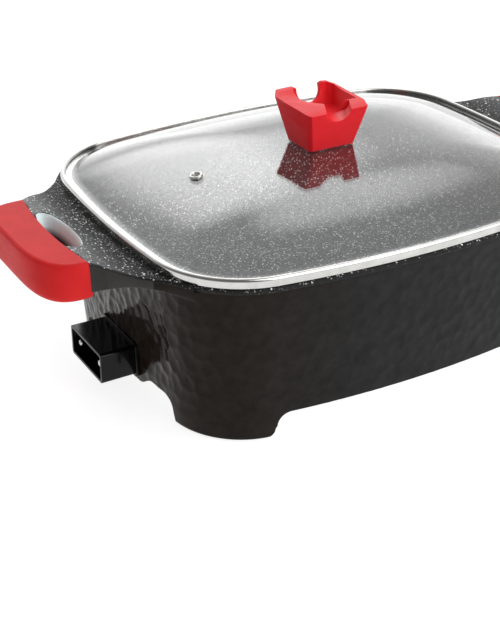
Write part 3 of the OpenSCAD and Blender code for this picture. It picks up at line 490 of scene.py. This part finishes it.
def ear_web():
    """The right ear with its bar, up to the pan's wall."""
    web = ear("ear_web", EAR_START, EAR_END)
    cut(web, ear("ear_hollow", EAR_START + 8, EAR_HOLLOW_END, inward=9, below=6, drop=5, round_r=3))
    under = prism("gap_wall", oval(4.5), GAP_WALL_LOW, PAN_H + 2)
    combine(under, ear("ear_part", EAR_START + 6, EAR_END, below=12), "INTERSECT")
    add(web, under)
    y = np.linspace(-GRIP_HALF - 1, GRIP_HALF + 1, 60)
    edge = np.column_stack([grip_inner_x(y, 1.6), y])
    past = [(PAST_EAR, -GRIP_HALF - 1), (PAST_EAR, GRIP_HALF + 1)]
    cut(web, prism("grip_side", past + edge[::-1].tolist(), 90, 170))
    add(web, ear_bar())
    cut(web, finger_gap())
    # What lies inside the pan's wall goes, so that the ear ends in it
    inside = [ring(wall_inset(z) + 1.5, z) for z in (100, WALL_TOP)] + [ring(INSET_TOP + 1.5, PAN_H + 20)]
    return cut(web, loft("inside_wall", inside))


def pan_body():
    """The pan's shell with its ears, the openings between its legs and the inlet's seat."""
    pan = loft("pan_body", pan_shell_rings())
    for turn in (Matrix.Identity(4), MIRROR_X):
        add(pan, place(ear_web(), turn))
    length = 3 * HALF_L
    cut(pan, place(prism("long_arch", whole(arch(ARCH_X)), -length, length), STAND))
    cut(pan, place(prism("right_arch", whole(arch(ARCH_Y)), 0, length), STAND_END))
    cut(pan, place(prism("left_arch", whole(lipped_arch(ARCH_Y)), -length, 0), STAND_END))
    cut(pan, on_inlet(prism("inlet_seat", rounded_rectangle(*SEAT), 0, 40), SEAT_X))
    return cut(pan, on_inlet(prism("inlet_window", rounded_rectangle(*WINDOW), -8, 40), SEAT_X))


def pan_fittings():
    """Posts, ribs and bosses under the floor, taken over from the CAD casting."""
    rings = [ring(wall_inset(z) + WALL_T - 1, z) for z in (-1, FLOOR_LOW + 1)]
    inner = combine(copy_of("pan_casting"), loft("space_below", rings), "INTERSECT")
    corner = [(ARCH_X - 1, -5), (ARCH_X - 1, LEG_LIFT + FOOT_R)] + foot_corner(ARCH_X)
    for turn in (STAND, MIRROR_X @ STAND):
        cut(inner, place(prism("foot_corner", corner, -HALF_L, HALF_L), turn))
    return inner


# ---------------------------------------------------------------- grips
# Share of the grip's height, how far it is drawn in there, and the power of its plan
GRIP_RINGS = [(0, 8, 0.66), (0.035, 4.2, 0.62), (0.09, 1.6, 0.6), (0.17, 0.4, 0.58), (0.3, 0, 0.58),
              (0.6, 0.1, 0.65), (0.85, 0.4, 0.72), (0.93, 0.7, 0.75), (0.965, 1.2, 0.76), (0.985, 2.0, 0.76),
              (1, 3.6, 0.76)]


def grip_rings():
    low, middle, high = np.linspace(0, 0.3, 14), np.linspace(0.3, 0.9, 14), np.linspace(0.9, 1, 9)
    rings = []
    for t in np.concatenate([low, middle[1:], high[1:]]):
        inset = float(through([(r[0], r[1]) for r in GRIP_RINGS], t))
        power = float(through([(r[0], r[2]) for r in GRIP_RINGS], t))
        half = GRIP_HALF - inset
        tuck = min(inset, 1.2) + 0.25 * max(inset - 1.2, 0)
        y = np.linspace(half, -half, 50)
        inner = np.column_stack([grip_inner_x(y, tuck), y])
        plan = np.concatenate([oblong(GRIP_REACH - inset, half, power), inner])
        rings.append(level(plan, GRIP_BOTTOM + t * (GRIP_TOP - GRIP_BOTTOM)))
    return rings


def grip(name, side):
    """A grip's sleeve; its hollow is a little larger than the bar inside."""
    sleeve = loft(name, grip_rings())
    bar = ear_bar()
    bar.data.transform(Matrix.Diagonal((1.0015, 1.004, 1, 1)))
    cut(bar, prism("gap_cover", oval(-0.2), GRIP_BOTTOM - 20, GRIP_TOP + 20))
    cut(sleeve, bar)
    if side < 0:
        place(sleeve, MIRROR_X)
    return sleeve


# ---------------------------------------------------------------- lid
GLASS_T = 4
GLASS_EDGE = PAN_H + 1.8            # lower face of the glass at its edge
GLASS_INSET = 1.2
DOME_H = 26.6
DOME_CAP = 0.12                     # share of the glass's reach that is flat, then the share that falls
DOME_FALL = 0.835
DOME_POWER = 2.5
VENT_X = 117


def dome(s):
    """Height of the dome where s is the share of the glass's reach."""
    t = np.clip((s - DOME_CAP) / DOME_FALL, 0, 1)
    return DOME_H * (1 - t ** DOME_POWER)


def glass():
    edge = OUTLINE[::2] - GLASS_INSET * NORMALS[::2]
    shares = np.concatenate([np.linspace(0.04, 0.955, 46), [0.985]])
    over = GLASS_EDGE + GLASS_T
    top = [level(edge * s, over + float(dome(s))) for s in shares]
    low = [level(edge * s, GLASS_EDGE + float(dome(s))) for s in shares]
    side = [level(edge * s, z) for s, z in ((0.998, over), (1, over - 0.7), (1, GLASS_EDGE + 0.7),
                                            (0.998, GLASS_EDGE))]
    pane = loft("lid_pane", low + side[::-1] + top[::-1])
    return cut(pane, prism("knob_hole", circle(3.2), RIM_TOP, RIM_TOP + 60))


def rim():
    """Steel band with a rolled lip over the glass and a skirt that drops into the pan."""
    lip = 4.2
    skirt = 8.6
    low = GLASS_EDGE - 0.1
    over = GLASS_EDGE + GLASS_T + 0.1
    skirt_low = PAN_H - 11
    section = [(0.5, PAN_H), (0.12, PAN_H + 0.35), (0, PAN_H + 0.9), (0, PAN_H + 3)]
    section += [(2.6 - 2.6 * math.cos(a), RIM_TOP - 2.9 + 2.9 * math.sin(a))
                for a in np.radians(np.linspace(0, 90, 10))]
    section += [(3.3, RIM_TOP - 0.15), (lip - 0.3, RIM_TOP - 0.6), (lip, RIM_TOP - 1.2), (lip, over),
                (1, over), (1, low), (skirt + 0.9, low), (skirt + 0.9, skirt_low), (skirt, skirt_low),
                (skirt, PAN_H)]
    return loft("rim_band", [ring(inset, z) for inset, z in section], closed=True)


def vent_eyelet():
    """Steam vent: a lathed eyelet, square to the glass where it sits."""
    reach = HALF_L - GLASS_INSET
    rise = float(dome(VENT_X / reach))
    slope = (float(dome(VENT_X / reach + 0.01)) - rise) / (0.01 * reach)
    low = -GLASS_T
    profile = [(3.0, low - 0.2), (3.6, low - 0.9), (4.6, low - 0.7), (4.7, low - 0.1), (3.15, low)]
    profile += [(3.15, 0.05)] + arc((4.4, 0.85), 1.15, -60, 200, 14)
    profile += [(2.1, 0.6), (1.8, 0), (1.8, low - 0.6), (2.4, low - 0.9)]
    turn = Matrix.Rotation(math.atan(slope), 4, "Y")
    return place(lathe("vent_grommet", profile), move(-VENT_X, 0, GLASS_EDGE + GLASS_T + rise) @ turn)


# ---------------------------------------------------------------- knob
KNOB_LOW, KNOB_HIGH = box("knob")
KNOB_RISE = 2.8                     # of the two back corners above the walls
POCKET = [(26.5, -10.5), (26.5, 25.5), (22.5, 29.5), (-9.5, 29.5), (-13, 24), (-15, 15), (-15, 7), (-13, 0.5),
          (-9.5, -4.5), (-4.5, -9.5)]
POCKET_DEPTH = 14.5
POCKET_TAPER = np.array([0.88, 0.85])           # size of its floor as a share of its mouth
POCKET_MIDDLE = np.array([6, 9])
FRONT_NOTCH = (10.5, -2.5, 0.5)     # radius, place along X and height of its axis above the walls
FRONT_NOTCH_TURN = -27
BACK_NOTCH = (11.5, 5, -1)
SCREW_HOLE_R = 4.45
PAST_KNOB = 80                      # cuts across the knob reach this far to each side


def knob_plan(half, front, back, cuts):
    """Plan with cut corners.

    The cuts are (along X, along Y), at the right front, right back, left back and left front.
    """
    rf, rb, lb, lf = cuts
    return np.array([(half, rf[1] - front), (half, back - rb[1]), (half - rb[0], back), (lb[0] - half, back),
                     (-half, back - lb[1]), (-half, lf[1] - front), (lf[0] - half, -front),
                     (half - rf[0], -front)])


def knob_walls(low, top, horn):
    """The knob before it is cut: eight sides that widen upwards."""
    base = knob_plan(22.25, 18.25, 18.25, [(3, 4), (3, 3), (3, 3), (2.8, 3)])
    full = knob_plan(KNOB_HIGH[0], -KNOB_LOW[1], KNOB_HIGH[1], [(4.6, 13.5), (5, 5), (6, 9), (1.8, 6.8)])
    layers = [level(base + (full - base) * t, low + (top - low) * t) for t in np.linspace(0, 1, 7)]
    return loft("knob_body", layers + [level(full, horn)])


def knob_pocket(top):
    """Space of the pocket between the notches, with a rounded edge round its floor."""
    plan = np.array(POCKET)
    rings = []
    for share, size, z in ((0.0, 0.93, top - POCKET_DEPTH), (0.06, 0.98, top - 14.2), (0.1, 1, top - 13.4),
                           (1, 1, top), (1, 1, top + KNOB_RISE + 2)):
        sides = POCKET_TAPER + (1 - POCKET_TAPER) * share
        rings.append(level(POCKET_MIDDLE + (plan * sides - POCKET_MIDDLE) * size, z))
    return loft("pocket", rings)


def notch(name, r, y0, y1):
    """Space of a notch for a spoon's handle, drawn across."""
    return prism(name, arc((0, 0), r, 180, 360, 28) + [(r, 15), (-r, 15)], y0, y1)


def knob():
    """The knob, cut to its pocket, its two notches and its raised back corners."""
    low, horn = KNOB_LOW[2], KNOB_HIGH[2]
    top = horn - KNOB_RISE
    half, front, back = KNOB_HIGH[0], -KNOB_LOW[1], KNOB_HIGH[1]
    body = knob_walls(low, top, horn)
    cut(body, knob_pocket(top))
    radius, x, above = FRONT_NOTCH
    at = move(x, -front, top + above) @ turned(FRONT_NOTCH_TURN, "Z") @ STAND
    cut(body, place(notch("front_notch", radius, -25, 25), at))
    radius, x, above = BACK_NOTCH
    cut(body, place(notch("back_notch", radius, -39, -21), move(x, 0, top + above) @ STAND))
    over_walls = [(-front - 1, top - 0.6), (12 - front, top), (back - 23, top),
                  (back - 15, top + 0.2 * KNOB_RISE), (back - 9, top + 0.65 * KNOB_RISE),
                  (back - 5, horn + 0.05), (back - 1.2, horn + 0.05), (back + 1, horn - 2),
                  (back + 1, horn + 5), (-front - 1, horn + 5)]
    cut(body, place(prism("over_walls", over_walls, -PAST_KNOB, PAST_KNOB), STAND_END))
    outer = [(-half - 1, top), (2.5 - half, top + 0.3 * KNOB_RISE), (6 - half, top + 0.8 * KNOB_RISE),
             (10.5 - half, horn + 0.05)]
    between = [(x - radius - 3, horn + 0.05), (x - radius, top + 0.45 * KNOB_RISE),
               (x + radius, top + 0.45 * KNOB_RISE), (x + radius + 2.6, horn + 0.05)]
    above_all = [(half + 1, horn + 5), (-half - 1, horn + 5)]
    over_horns = outer + between + mirrored(outer) + above_all
    cut(body, place(prism("over_horns", over_horns, -PAST_KNOB, PAST_KNOB), STAND))
    cut(body, prism("insert_hole", circle(SCREW_HOLE_R), low - 2, low + 12.2))
    return bevel(body, 0.8, segments=4, angle=25)


# ---------------------------------------------------------------- inlet
def inlet_shell():
    """The inlet's housing with its socket, the holes for its pins and the way for the probe."""
    mouth, back = (corner[0] for corner in box("inlet_housing"))
    shell = on_inlet(prism("inlet_shell", rounded_rectangle(*HOUSING), -back, -mouth))
    cut(shell, on_inlet(prism("recess", rounded_rectangle(*SOCKET), PIN_BASE, PAST_INLET)))
    for y in (-PIN_Y, PIN_Y):
        cut(shell, on_inlet(prism("pin_hole", circle(2.15, 16), 180, PAST_INLET), y=y))
    cut(shell, on_inlet(prism("probe_way", circle(4.75), 180, PAST_INLET)))
    return bevel(shell, 0.5, segments=3, angle=40)


def inlet_frame():
    """Thin frame between the housing and the pan."""
    outer = on_inlet(prism("inlet_frame", rounded_rectangle(*COLLAR), SEAT_X, SEAT_X + 3.6))
    cut(outer, on_inlet(prism("window", rounded_rectangle(*WINDOW), 150, PAST_INLET)))
    return bevel(outer, 0.7, segments=3, angle=40)


def contact_pin(name, y):
    tip = [(1.2 + 1.6 * c, 216 + 1.5 * s) for c, s in arc((0, 0), 1, 0, 90, 6)]
    profile = [(2.0, 168), (2.0, PIN_BASE), (2.8, PIN_BASE)] + tip + [(0.02, 217.5), (0.02, 168)]
    return on_inlet(lathe(name, profile, 40), y=y)


# ---------------------------------------------------------------- materials
def map_range(tree, value, low, high, out_low, out_high):
    """Node that takes value from the range low to high to the range out_low to out_high."""
    node = tree.nodes.new("ShaderNodeMapRange")
    for socket, number in (("From Min", low), ("From Max", high), ("To Min", out_low), ("To Max", out_high)):
        node.inputs[socket].default_value = number
    tree.links.new(value, node.inputs["Value"])
    return node


class Shader:
    """A node material; its methods add nodes and return their output sockets."""

    def __init__(self, name, **values):
        self.material = bpy.data.materials.new(name)
        self.material.use_nodes = True
        self.tree = self.material.node_tree
        self.surface = next(n for n in self.tree.nodes if n.type == "BSDF_PRINCIPLED")
        for socket, value in values.items():
            self.surface.inputs[socket.replace("_", " ")].default_value = value
        self.place = self.node("ShaderNodeTexCoord").outputs["Object"]

    def node(self, kind, **settings):
        node = self.tree.nodes.new(kind)
        for key, value in settings.items():
            setattr(node, key, value)
        return node

    def link(self, source, target):
        self.tree.links.new(source, target)

    def set(self, socket, source):
        """Links a socket of the surface."""
        self.link(source, self.surface.inputs[socket])

    def noise(self, size, detail=3.0, rough=0.5):
        """Noise whose features are about size metres across."""
        node = self.node("ShaderNodeTexNoise")
        node.inputs["Scale"].default_value = 1 / size
        node.inputs["Detail"].default_value = detail
        node.inputs["Roughness"].default_value = rough
        self.link(self.place, node.inputs["Vector"])
        return node.outputs["Fac"]

    def specks(self, size, reach, share):
        """1 inside round specks and 0 elsewhere: one in each chosen cell of size metres."""
        cell = self.node("ShaderNodeTexVoronoi")
        cell.inputs["Scale"].default_value = 1 / size
        self.link(self.place, cell.inputs["Vector"])
        near = self.math("LESS_THAN", cell.outputs["Distance"], reach)
        split = self.node("ShaderNodeSeparateColor")
        self.link(cell.outputs["Color"], split.inputs[0])
        return self.math("MULTIPLY", near, self.math("GREATER_THAN", split.outputs[0], 1 - share))

    def ramp(self, factor, stops):
        """stops are (place, colour) or (place, grey)."""
        node = self.node("ShaderNodeValToRGB")
        elements = node.color_ramp.elements
        while len(elements) < len(stops):
            elements.new(0.5)
        for element, (at, colour) in zip(elements, stops):
            element.position = at
            element.color = (*colour, 1) if isinstance(colour, tuple) else (colour, colour, colour, 1)
        self.link(factor, node.inputs["Fac"])
        return node.outputs["Color"]

    def cloud(self, size, dark, light, detail=3.0, rough=0.5, ends=(0.3, 0.7)):
        """Soft variation between two colours, with patches about size metres across."""
        return self.ramp(self.noise(size, detail, rough), [(ends[0], dark), (ends[1], light)])

    def span(self, value, low, high, out_low, out_high):
        return map_range(self.tree, value, low, high, out_low, out_high).outputs["Result"]

    def gloss(self, size, low, high, detail=3.0, rough=0.5):
        """Roughness that varies between low and high."""
        return self.span(self.noise(size, detail, rough), 0.3, 0.7, low, high)

    def math(self, operation, a, b):
        node = self.node("ShaderNodeMath", operation=operation)
        for socket, value in zip(node.inputs, (a, b)):
            if isinstance(value, (int, float)):
                socket.default_value = value
            else:
                self.link(value, socket)
        return node.outputs[0]

    def mix(self, factor, a, b, **how):
        """Mixed colour; each argument is a socket, a colour or a number."""
        node = self.node("ShaderNodeMix", data_type="RGBA", **how)
        for socket, value in ((node.inputs["Factor"], factor), (node.inputs[6], a), (node.inputs[7], b)):
            if isinstance(value, tuple):
                socket.default_value = (*value, 1)
            elif isinstance(value, float):
                socket.default_value = value
            else:
                self.link(value, socket)
        return node.outputs[2]

    def axis(self, name):
        """Place along X, Y or Z, in metres."""
        node = self.node("ShaderNodeSeparateXYZ")
        self.link(self.place, node.inputs[0])
        return node.outputs[name]

    def bump(self, size, strength, distance):
        """Grain about size metres across and distance metres high."""
        node = self.node("ShaderNodeBump")
        node.inputs["Strength"].default_value = strength
        node.inputs["Distance"].default_value = distance
        self.link(self.noise(size, 2), node.inputs["Height"])
        self.set("Normal", node.outputs["Normal"])


# Cell size, radius of a speck as a share of it, share of cells with a speck, and how pale, finest first
SPECKS = [(0.0017, 0.28, 0.45, 0.30), (0.0025, 0.25, 0.45, 0.60), (0.0029, 0.21, 0.5, 0.66),
          (0.0050, 0.16, 0.36, 0.88)]


def speckled_coating():
    """Non-stick coating: dark with fine and coarse pale specks; greyer inside the pan, and greyer by the
    grips as a painted highlight.
    """
    s = Shader("speckled_coating", Specular_IOR_Level=0.25)
    # Painted highlight: towards the grips the ground turns grey and the surface smoother
    grip_highlight = s.span(s.math("ABSOLUTE", s.axis("X"), 0.0), 0.210, 0.238, 0, 1)
    deep = s.span(s.axis("Z"), 0.08, 0.135, 1, 0)
    ground = s.mix(s.math("MAXIMUM", grip_highlight, deep), (0.0045, 0.0045, 0.0047), (0.038, 0.041, 0.044))
    patches = s.cloud(0.03, (0.8, 0.8, 0.8), (1.2, 1.2, 1.2), 4, 0.6)
    colour = s.mix(1.0, ground, patches, blend_type="MULTIPLY")
    above = s.span(s.axis("Z"), 0.1375, 0.1388, 0.12, 1)
    edge = s.math("MAXIMUM", deep, above)
    coarse = s.math("MAXIMUM", s.math("MULTIPLY", deep, 0.4), above)
    for (size, reach, share, pale), where in zip(SPECKS, (edge, edge, deep, coarse)):
        speck = s.math("MULTIPLY", s.specks(size, reach, share), where)
        colour = s.mix(speck, colour, (pale, pale, 0.98 * pale))
    s.set("Base Color", colour)
    smoother = s.math("MULTIPLY", grip_highlight, 0.3)
    s.set("Roughness", s.math("SUBTRACT", s.gloss(0.004, 0.54, 0.66), smoother))
    s.bump(0.0012, 0.15, 0.0003)
    return s.material


def hammered_coating():
    """Coating of the outer wall: near black with a fine grain; darker and warmer in tint on the left end, as
    painted shade.
    """
    s = Shader("hammered_coating", Specular_IOR_Level=0.09)
    # Painted shade: the wall's left end is darker and warmer in tint
    left_end_shade = s.span(s.axis("X"), -0.17, -0.04, 1, 0)
    dark = s.mix(left_end_shade, (0.0120, 0.0120, 0.0124), (0.0086, 0.0054, 0.0034))
    light = s.mix(left_end_shade, (0.0190, 0.0190, 0.0194), (0.0156, 0.0108, 0.0076))
    s.set("Base Color", s.mix(s.cloud(0.012, 0.0, 1.0, 5, 0.65, (0.35, 0.65)), dark, light))
    s.set("Roughness", s.gloss(0.006, 0.16, 0.24, 4))
    s.bump(0.0008, 0.2, 0.0002)
    return s.material


def trimmed_metal():
    """Trimmed edge of the casting in the finger gaps: bright metal above, near black further down as painted
    shade.
    """
    s = Shader("trimmed_metal")
    # Painted shade: the wall fades to near black from 136.5 mm down to 130 mm
    painted_shade_end = s.span(s.axis("Z"), 0.130, 0.1365, 0, 1)
    metal = s.cloud(0.006, (0.72, 0.88, 0.89), (0.78, 0.94, 0.95))
    s.set("Base Color", s.mix(painted_shade_end, (0.014, 0.013, 0.013), metal))
    s.set("Roughness", s.gloss(0.003, 0.34, 0.44))
    return s.material


def clear_glass():
    """Clear glass that lets the lamps through to what is under it."""
    s = Shader("clear_glass", Roughness=0.01, IOR=1.6, Transmission_Weight=1.0)
    s.set("Base Color", s.cloud(0.05, (0.955, 0.965, 0.962), (0.968, 0.975, 0.972), 2))
    clear = s.node("ShaderNodeBsdfTransparent")
    clear.inputs["Color"].default_value = (0.93, 0.94, 0.937, 1)
    blend = s.node("ShaderNodeMixShader")
    s.link(s.node("ShaderNodeLightPath").outputs["Is Shadow Ray"], blend.inputs["Fac"])
    s.link(s.surface.outputs[0], blend.inputs[1])
    s.link(clear.outputs[0], blend.inputs[2])
    output = next(n for n in s.tree.nodes if n.type == "OUTPUT_MATERIAL")
    s.link(blend.outputs[0], output.inputs["Surface"])
    return s.material


def polished_steel(name, low, high):
    s = Shader(name, Metallic=1.0)
    s.set("Base Color", s.cloud(0.01, (0.52, 0.515, 0.50), (0.62, 0.615, 0.60)))
    s.set("Roughness", s.gloss(0.002, low, high, 4, 0.6))
    return s.material


def moulded(name, colour, gloss, bump, **values):
    """Finish with soft colour variation, uneven gloss and a fine grain.

    colour, gloss and bump are the arguments of cloud, gloss and bump.
    """
    s = Shader(name, **values)
    s.set("Base Color", s.cloud(*colour))
    s.set("Roughness", s.gloss(*gloss))
    s.bump(*bump)
    return s.material


def plain_coating():
    return moulded("plain_coating", (0.01, (0.012, 0.011, 0.010), (0.020, 0.018, 0.017), 4),
                   (0.004, 0.34, 0.46), (0.0009, 0.25, 0.0002), Specular_IOR_Level=0.3)


def red_silicone():
    return moulded("red_silicone", (0.02, (0.57, 0.016, 0.017), (0.64, 0.021, 0.022)),
                   (0.0025, 0.36, 0.5), (0.0006, 0.12, 0.0002), Specular_IOR_Level=0.1, IOR=1.43)


def knob_silicone():
    return moulded("knob_silicone", (0.02, (0.73, 0.013, 0.020), (0.81, 0.017, 0.025)),
                   (0.0025, 0.28, 0.4), (0.0006, 0.08, 0.0002), Specular_IOR_Level=0.16)


def black_plastic():
    return moulded("black_plastic", (0.01, (0.0022, 0.0022, 0.0024), (0.0042, 0.0042, 0.0045)),
                   (0.003, 0.10, 0.18), (0.0007, 0.1, 0.0001), Specular_IOR_Level=0.2)


def dull(name, dark, light, rough, size=0.006, metallic=0.0):
    """Finish of a small inner part."""
    return moulded(name, (size, dark, light, 4, 0.6), (size / 3, rough - 0.08, rough + 0.08),
                   (size / 6, 0.15, 0.0002), Metallic=metallic)


# ---------------------------------------------------------------- the dressed object
HAMMERED, SPECKLED, PLAIN, TRIMMED = range(4)   # the pan's materials, in their order on its mesh


def paint_pan(pan):
    """Gives each face of the pan its material.

    Hammered outside, speckled on the flange, the ears and inside, plain on the ears' sides and below,
    and trimmed metal in the finger gaps.
    """
    mesh = pan.data
    n = len(mesh.polygons)
    centre, normal = np.zeros(3 * n), np.zeros(3 * n)
    mesh.polygons.foreach_get("center", centre)
    mesh.polygons.foreach_get("normal", normal)
    x, y, z = centre.reshape(-1, 3).T / MM
    x = np.abs(x)
    up = normal.reshape(-1, 3)[:, 2]
    out = (normal.reshape(-1, 3)[:, :2] * centre.reshape(-1, 3)[:, :2]).sum(1)
    index = np.full(n, HAMMERED, np.int32)
    inside = (z > FLOOR_H - 1) & (out < 0) & (z < PAN_H + 1) & (x < HALF_L)
    index[inside | (up > 0.5) & (z > FLOOR_H - 1)] = SPECKLED
    index[(z > WALL_TOP + 0.5) & (x < HALF_L + 6)] = SPECKLED
    ears = (x > HALF_L - 2) & (up < 0.45) & (z > EAR_LOWEST) & ~((z > WALL_TOP) & (x < HALF_L + 3))
    index[ears] = PLAIN
    index[(z < FLOOR_LOW + 1) & (out < 0)] = PLAIN
    in_oval = ((x - GAP_X - GAP_HALF_W) / (GAP_HALF_W + 5.5)) ** 2 + (y / (GAP_HALF_L - 1.5)) ** 2 < 1
    index[in_oval & (up < 0.93) & (up > -0.4) & (x < GRIP_X - 2) & (z > GAP_WALL_LOW)] = TRIMMED
    mesh.polygons.foreach_set("material_index", index)


def finish(obj, body, slot, material, *nodes, angle=35):
    """Gives a piece its material, shading and body, and hides the CAD nodes that it stands for; slot is not
    used.
    """
    if material:
        obj.data.materials.clear()
        obj.data.materials.append(material)
    smooth(obj, angle)
    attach(obj, body)
    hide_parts(*nodes)


def dress():
    """Makes every piece, and gives the CAD nodes that stay their materials."""
    pan = add(pan_body(), pan_fittings())
    pan.data.materials.clear()
    for material in (hammered_coating(), speckled_coating(), plain_coating(), trimmed_metal()):
        pan.data.materials.append(material)
    paint_pan(pan)
    finish(pan, "skillet", "coated_casting", None, "pan_casting", angle=38)

    silicone = red_silicone()
    for side, name in ((-1, "left"), (1, "right")):
        finish(grip("grip_sleeve_" + name, side), "skillet", "grip_silicone", silicone, "grip_" + name)

    plastic = black_plastic()
    finish(inlet_shell(), "skillet", "inlet_plastic", plastic, "inlet_housing")
    finish(inlet_frame(), "skillet", "inlet_plastic", plastic, "inlet_collar")
    nickel = polished_steel("bright_nickel", 0.12, 0.22)
    finish(contact_pin("contact_line", PIN_Y), "skillet", "pin_nickel", nickel, "terminal_pin_line")
    finish(contact_pin("contact_neutral", -PIN_Y), "skillet", "pin_nickel", nickel, "terminal_pin_neutral")

    finish(glass(), "lid", "lid_glass", clear_glass(), "lid_glass", angle=30)
    steel = polished_steel("rim_steel", 0.1, 0.2)
    finish(rim(), "lid", "rim_steel", steel, "lid_rim", angle=40)
    finish(vent_eyelet(), "lid", "rim_steel", steel, "vent_eyelet", angle=40)
    finish(knob(), "lid", "knob_silicone", knob_silicone(), "knob", angle=50)

    finishes = {
        "foot_rubber": dull("foot_rubber", (0.010, 0.010, 0.010), (0.022, 0.022, 0.022), 0.7, 0.004),
        "white_ceramic": dull("white_ceramic", (0.66, 0.64, 0.58), (0.78, 0.76, 0.70), 0.5, 0.004),
        "brass": dull("brass", (0.55, 0.38, 0.14), (0.68, 0.49, 0.20), 0.32, 0.004, 1.0),
        "screw_steel": dull("screw_steel", (0.45, 0.44, 0.42), (0.6, 0.59, 0.57), 0.34, 0.002, 1.0),
        "element_sheath": dull("element_sheath", (0.16, 0.15, 0.14), (0.27, 0.25, 0.23), 0.45, 0.006, 1.0),
        "plated_sheet": dull("plated_sheet", (0.48, 0.49, 0.50), (0.62, 0.63, 0.64), 0.36, 0.02, 1.0),
        "gasket_silicone": dull("gasket_silicone", (0.03, 0.03, 0.03), (0.05, 0.05, 0.05), 0.6, 0.003),
        "pin_nickel": nickel,
    }
    for part in frame["record"]["subparts"]:
        node = frame["nodes"][part["node"]]
        if not node.hide_render:
            node.data.materials.clear()
            node.data.materials.append(finishes[part["material_slot"]])


# ---------------------------------------------------------------- studio
TABLE_REACH = 9000                  # millimetres, to each side
KEY_AT = (0.7, -1.35, 1.35)         # metres
KEY_SIZE = 2.0
KEY_POWER = 32
SKY_LOW = 0.2                       # strength of the dim room all round
SKY_HAZE = 0.75                     # strength of its pale walls low down, up to these heights in the sky
SKY_HAZE_FULL, SKY_HAZE_END = 0.1, 0.26
SKY_GLOWS = [                       # soft panels: azimuth, elevation, end and full glow in degrees, strength
    (30, 32, 74, 26, 0.95),
    (20, 29, 17, 3, 1.9),
    (41, 44, 14, 3, 1.2),
    (-30, 25, 40, 10, 0.05),
]


def aim(azimuth, elevation):
    """Direction in the sky; azimuth 0 is +Y and 90 is +X."""
    a, e = math.radians(azimuth), math.radians(elevation)
    return math.sin(a) * math.cos(e), math.cos(a) * math.cos(e), math.sin(e)


def sky():
    """The room's light: dim walls, paler low down, with a few soft panels."""
    world = bpy.data.worlds.new("studio")
    bpy.context.scene.world = world
    world.use_nodes = True
    tree = world.node_tree
    place = tree.nodes.new("ShaderNodeTexCoord").outputs["Generated"]
    height = tree.nodes.new("ShaderNodeSeparateXYZ")
    tree.links.new(place, height.inputs[0])
    haze = map_range(tree, height.outputs["Z"], SKY_HAZE_FULL, SKY_HAZE_END, SKY_HAZE, SKY_LOW)
    total = haze.outputs["Result"]
    for azimuth, elevation, end, full, strength in SKY_GLOWS:
        dot = tree.nodes.new("ShaderNodeVectorMath")
        dot.operation = "DOT_PRODUCT"
        tree.links.new(place, dot.inputs[0])
        dot.inputs[1].default_value = aim(azimuth, elevation)
        low, high = (math.cos(math.radians(angle)) for angle in (end, full))
        fade = map_range(tree, dot.outputs["Value"], low, high, 0, strength)
        fade.interpolation_type = "SMOOTHSTEP"
        plus = tree.nodes.new("ShaderNodeMath")
        tree.links.new(fade.outputs["Result"], plus.inputs[0])
        tree.links.new(total, plus.inputs[1])
        total = plus.outputs[0]
    tree.links.new(total, tree.nodes["Background"].inputs["Strength"])
    tree.nodes["Background"].inputs["Color"].default_value = (1, 1, 1, 1)


def softbox(name, at, size, power):
    """Square lamp that faces the middle of the table."""
    light = bpy.data.lights.new(name, "AREA")
    light.shape = "SQUARE"
    light.size = size
    light.energy = power
    obj = bpy.data.objects.new(name, light)
    bpy.context.scene.collection.objects.link(obj)
    obj.location = at
    obj.rotation_euler = (-Vector(at)).to_track_quat("-Z", "Y").to_euler()


def studio():
    """Plain white table, lit from within as a light table is, under a soft sky and one key lamp."""
    r = TABLE_REACH
    floor = new_object("floor", [(-r, -r, 0), (r, -r, 0), (r, r, 0), (-r, r, 0)], [(0, 1, 2, 3)])
    s = Shader("light_table", Roughness=0.9, Specular_IOR_Level=0.1, Emission_Strength=0.84)
    s.set("Base Color", s.cloud(0.4, (0.34, 0.34, 0.34), (0.36, 0.36, 0.36), 2))
    s.surface.inputs["Emission Color"].default_value = (1, 1, 1, 1)
    floor.data.materials.append(s.material)
    sky()
    softbox("key", KEY_AT, KEY_SIZE, KEY_POWER)


CAMERA_AT = (-0.5744, -0.8809, 0.5910)          # metres
CAMERA_TURN = -29.905               # degrees; 0 looks along +Y
CAMERA_TILT = 28.973                # degrees below level
SENSOR = 36
FOCAL_SHARE = 2.7126                # focal length as a share of the image's width


def camera():
    data = bpy.data.cameras.new("photo_view")
    data.sensor_fit = "HORIZONTAL"
    data.sensor_width = SENSOR
    data.lens = FOCAL_SHARE * SENSOR
    data.clip_start = 0.01
    obj = bpy.data.objects.new("photo_view", data)
    bpy.context.scene.collection.objects.link(obj)
    obj.location = CAMERA_AT
    obj.rotation_euler = (math.radians(90 - CAMERA_TILT), 0, math.radians(CAMERA_TURN))
    bpy.context.scene.camera = obj


camera()
studio()
dress()
bpy.context.scene.view_settings.view_transform = "Standard"
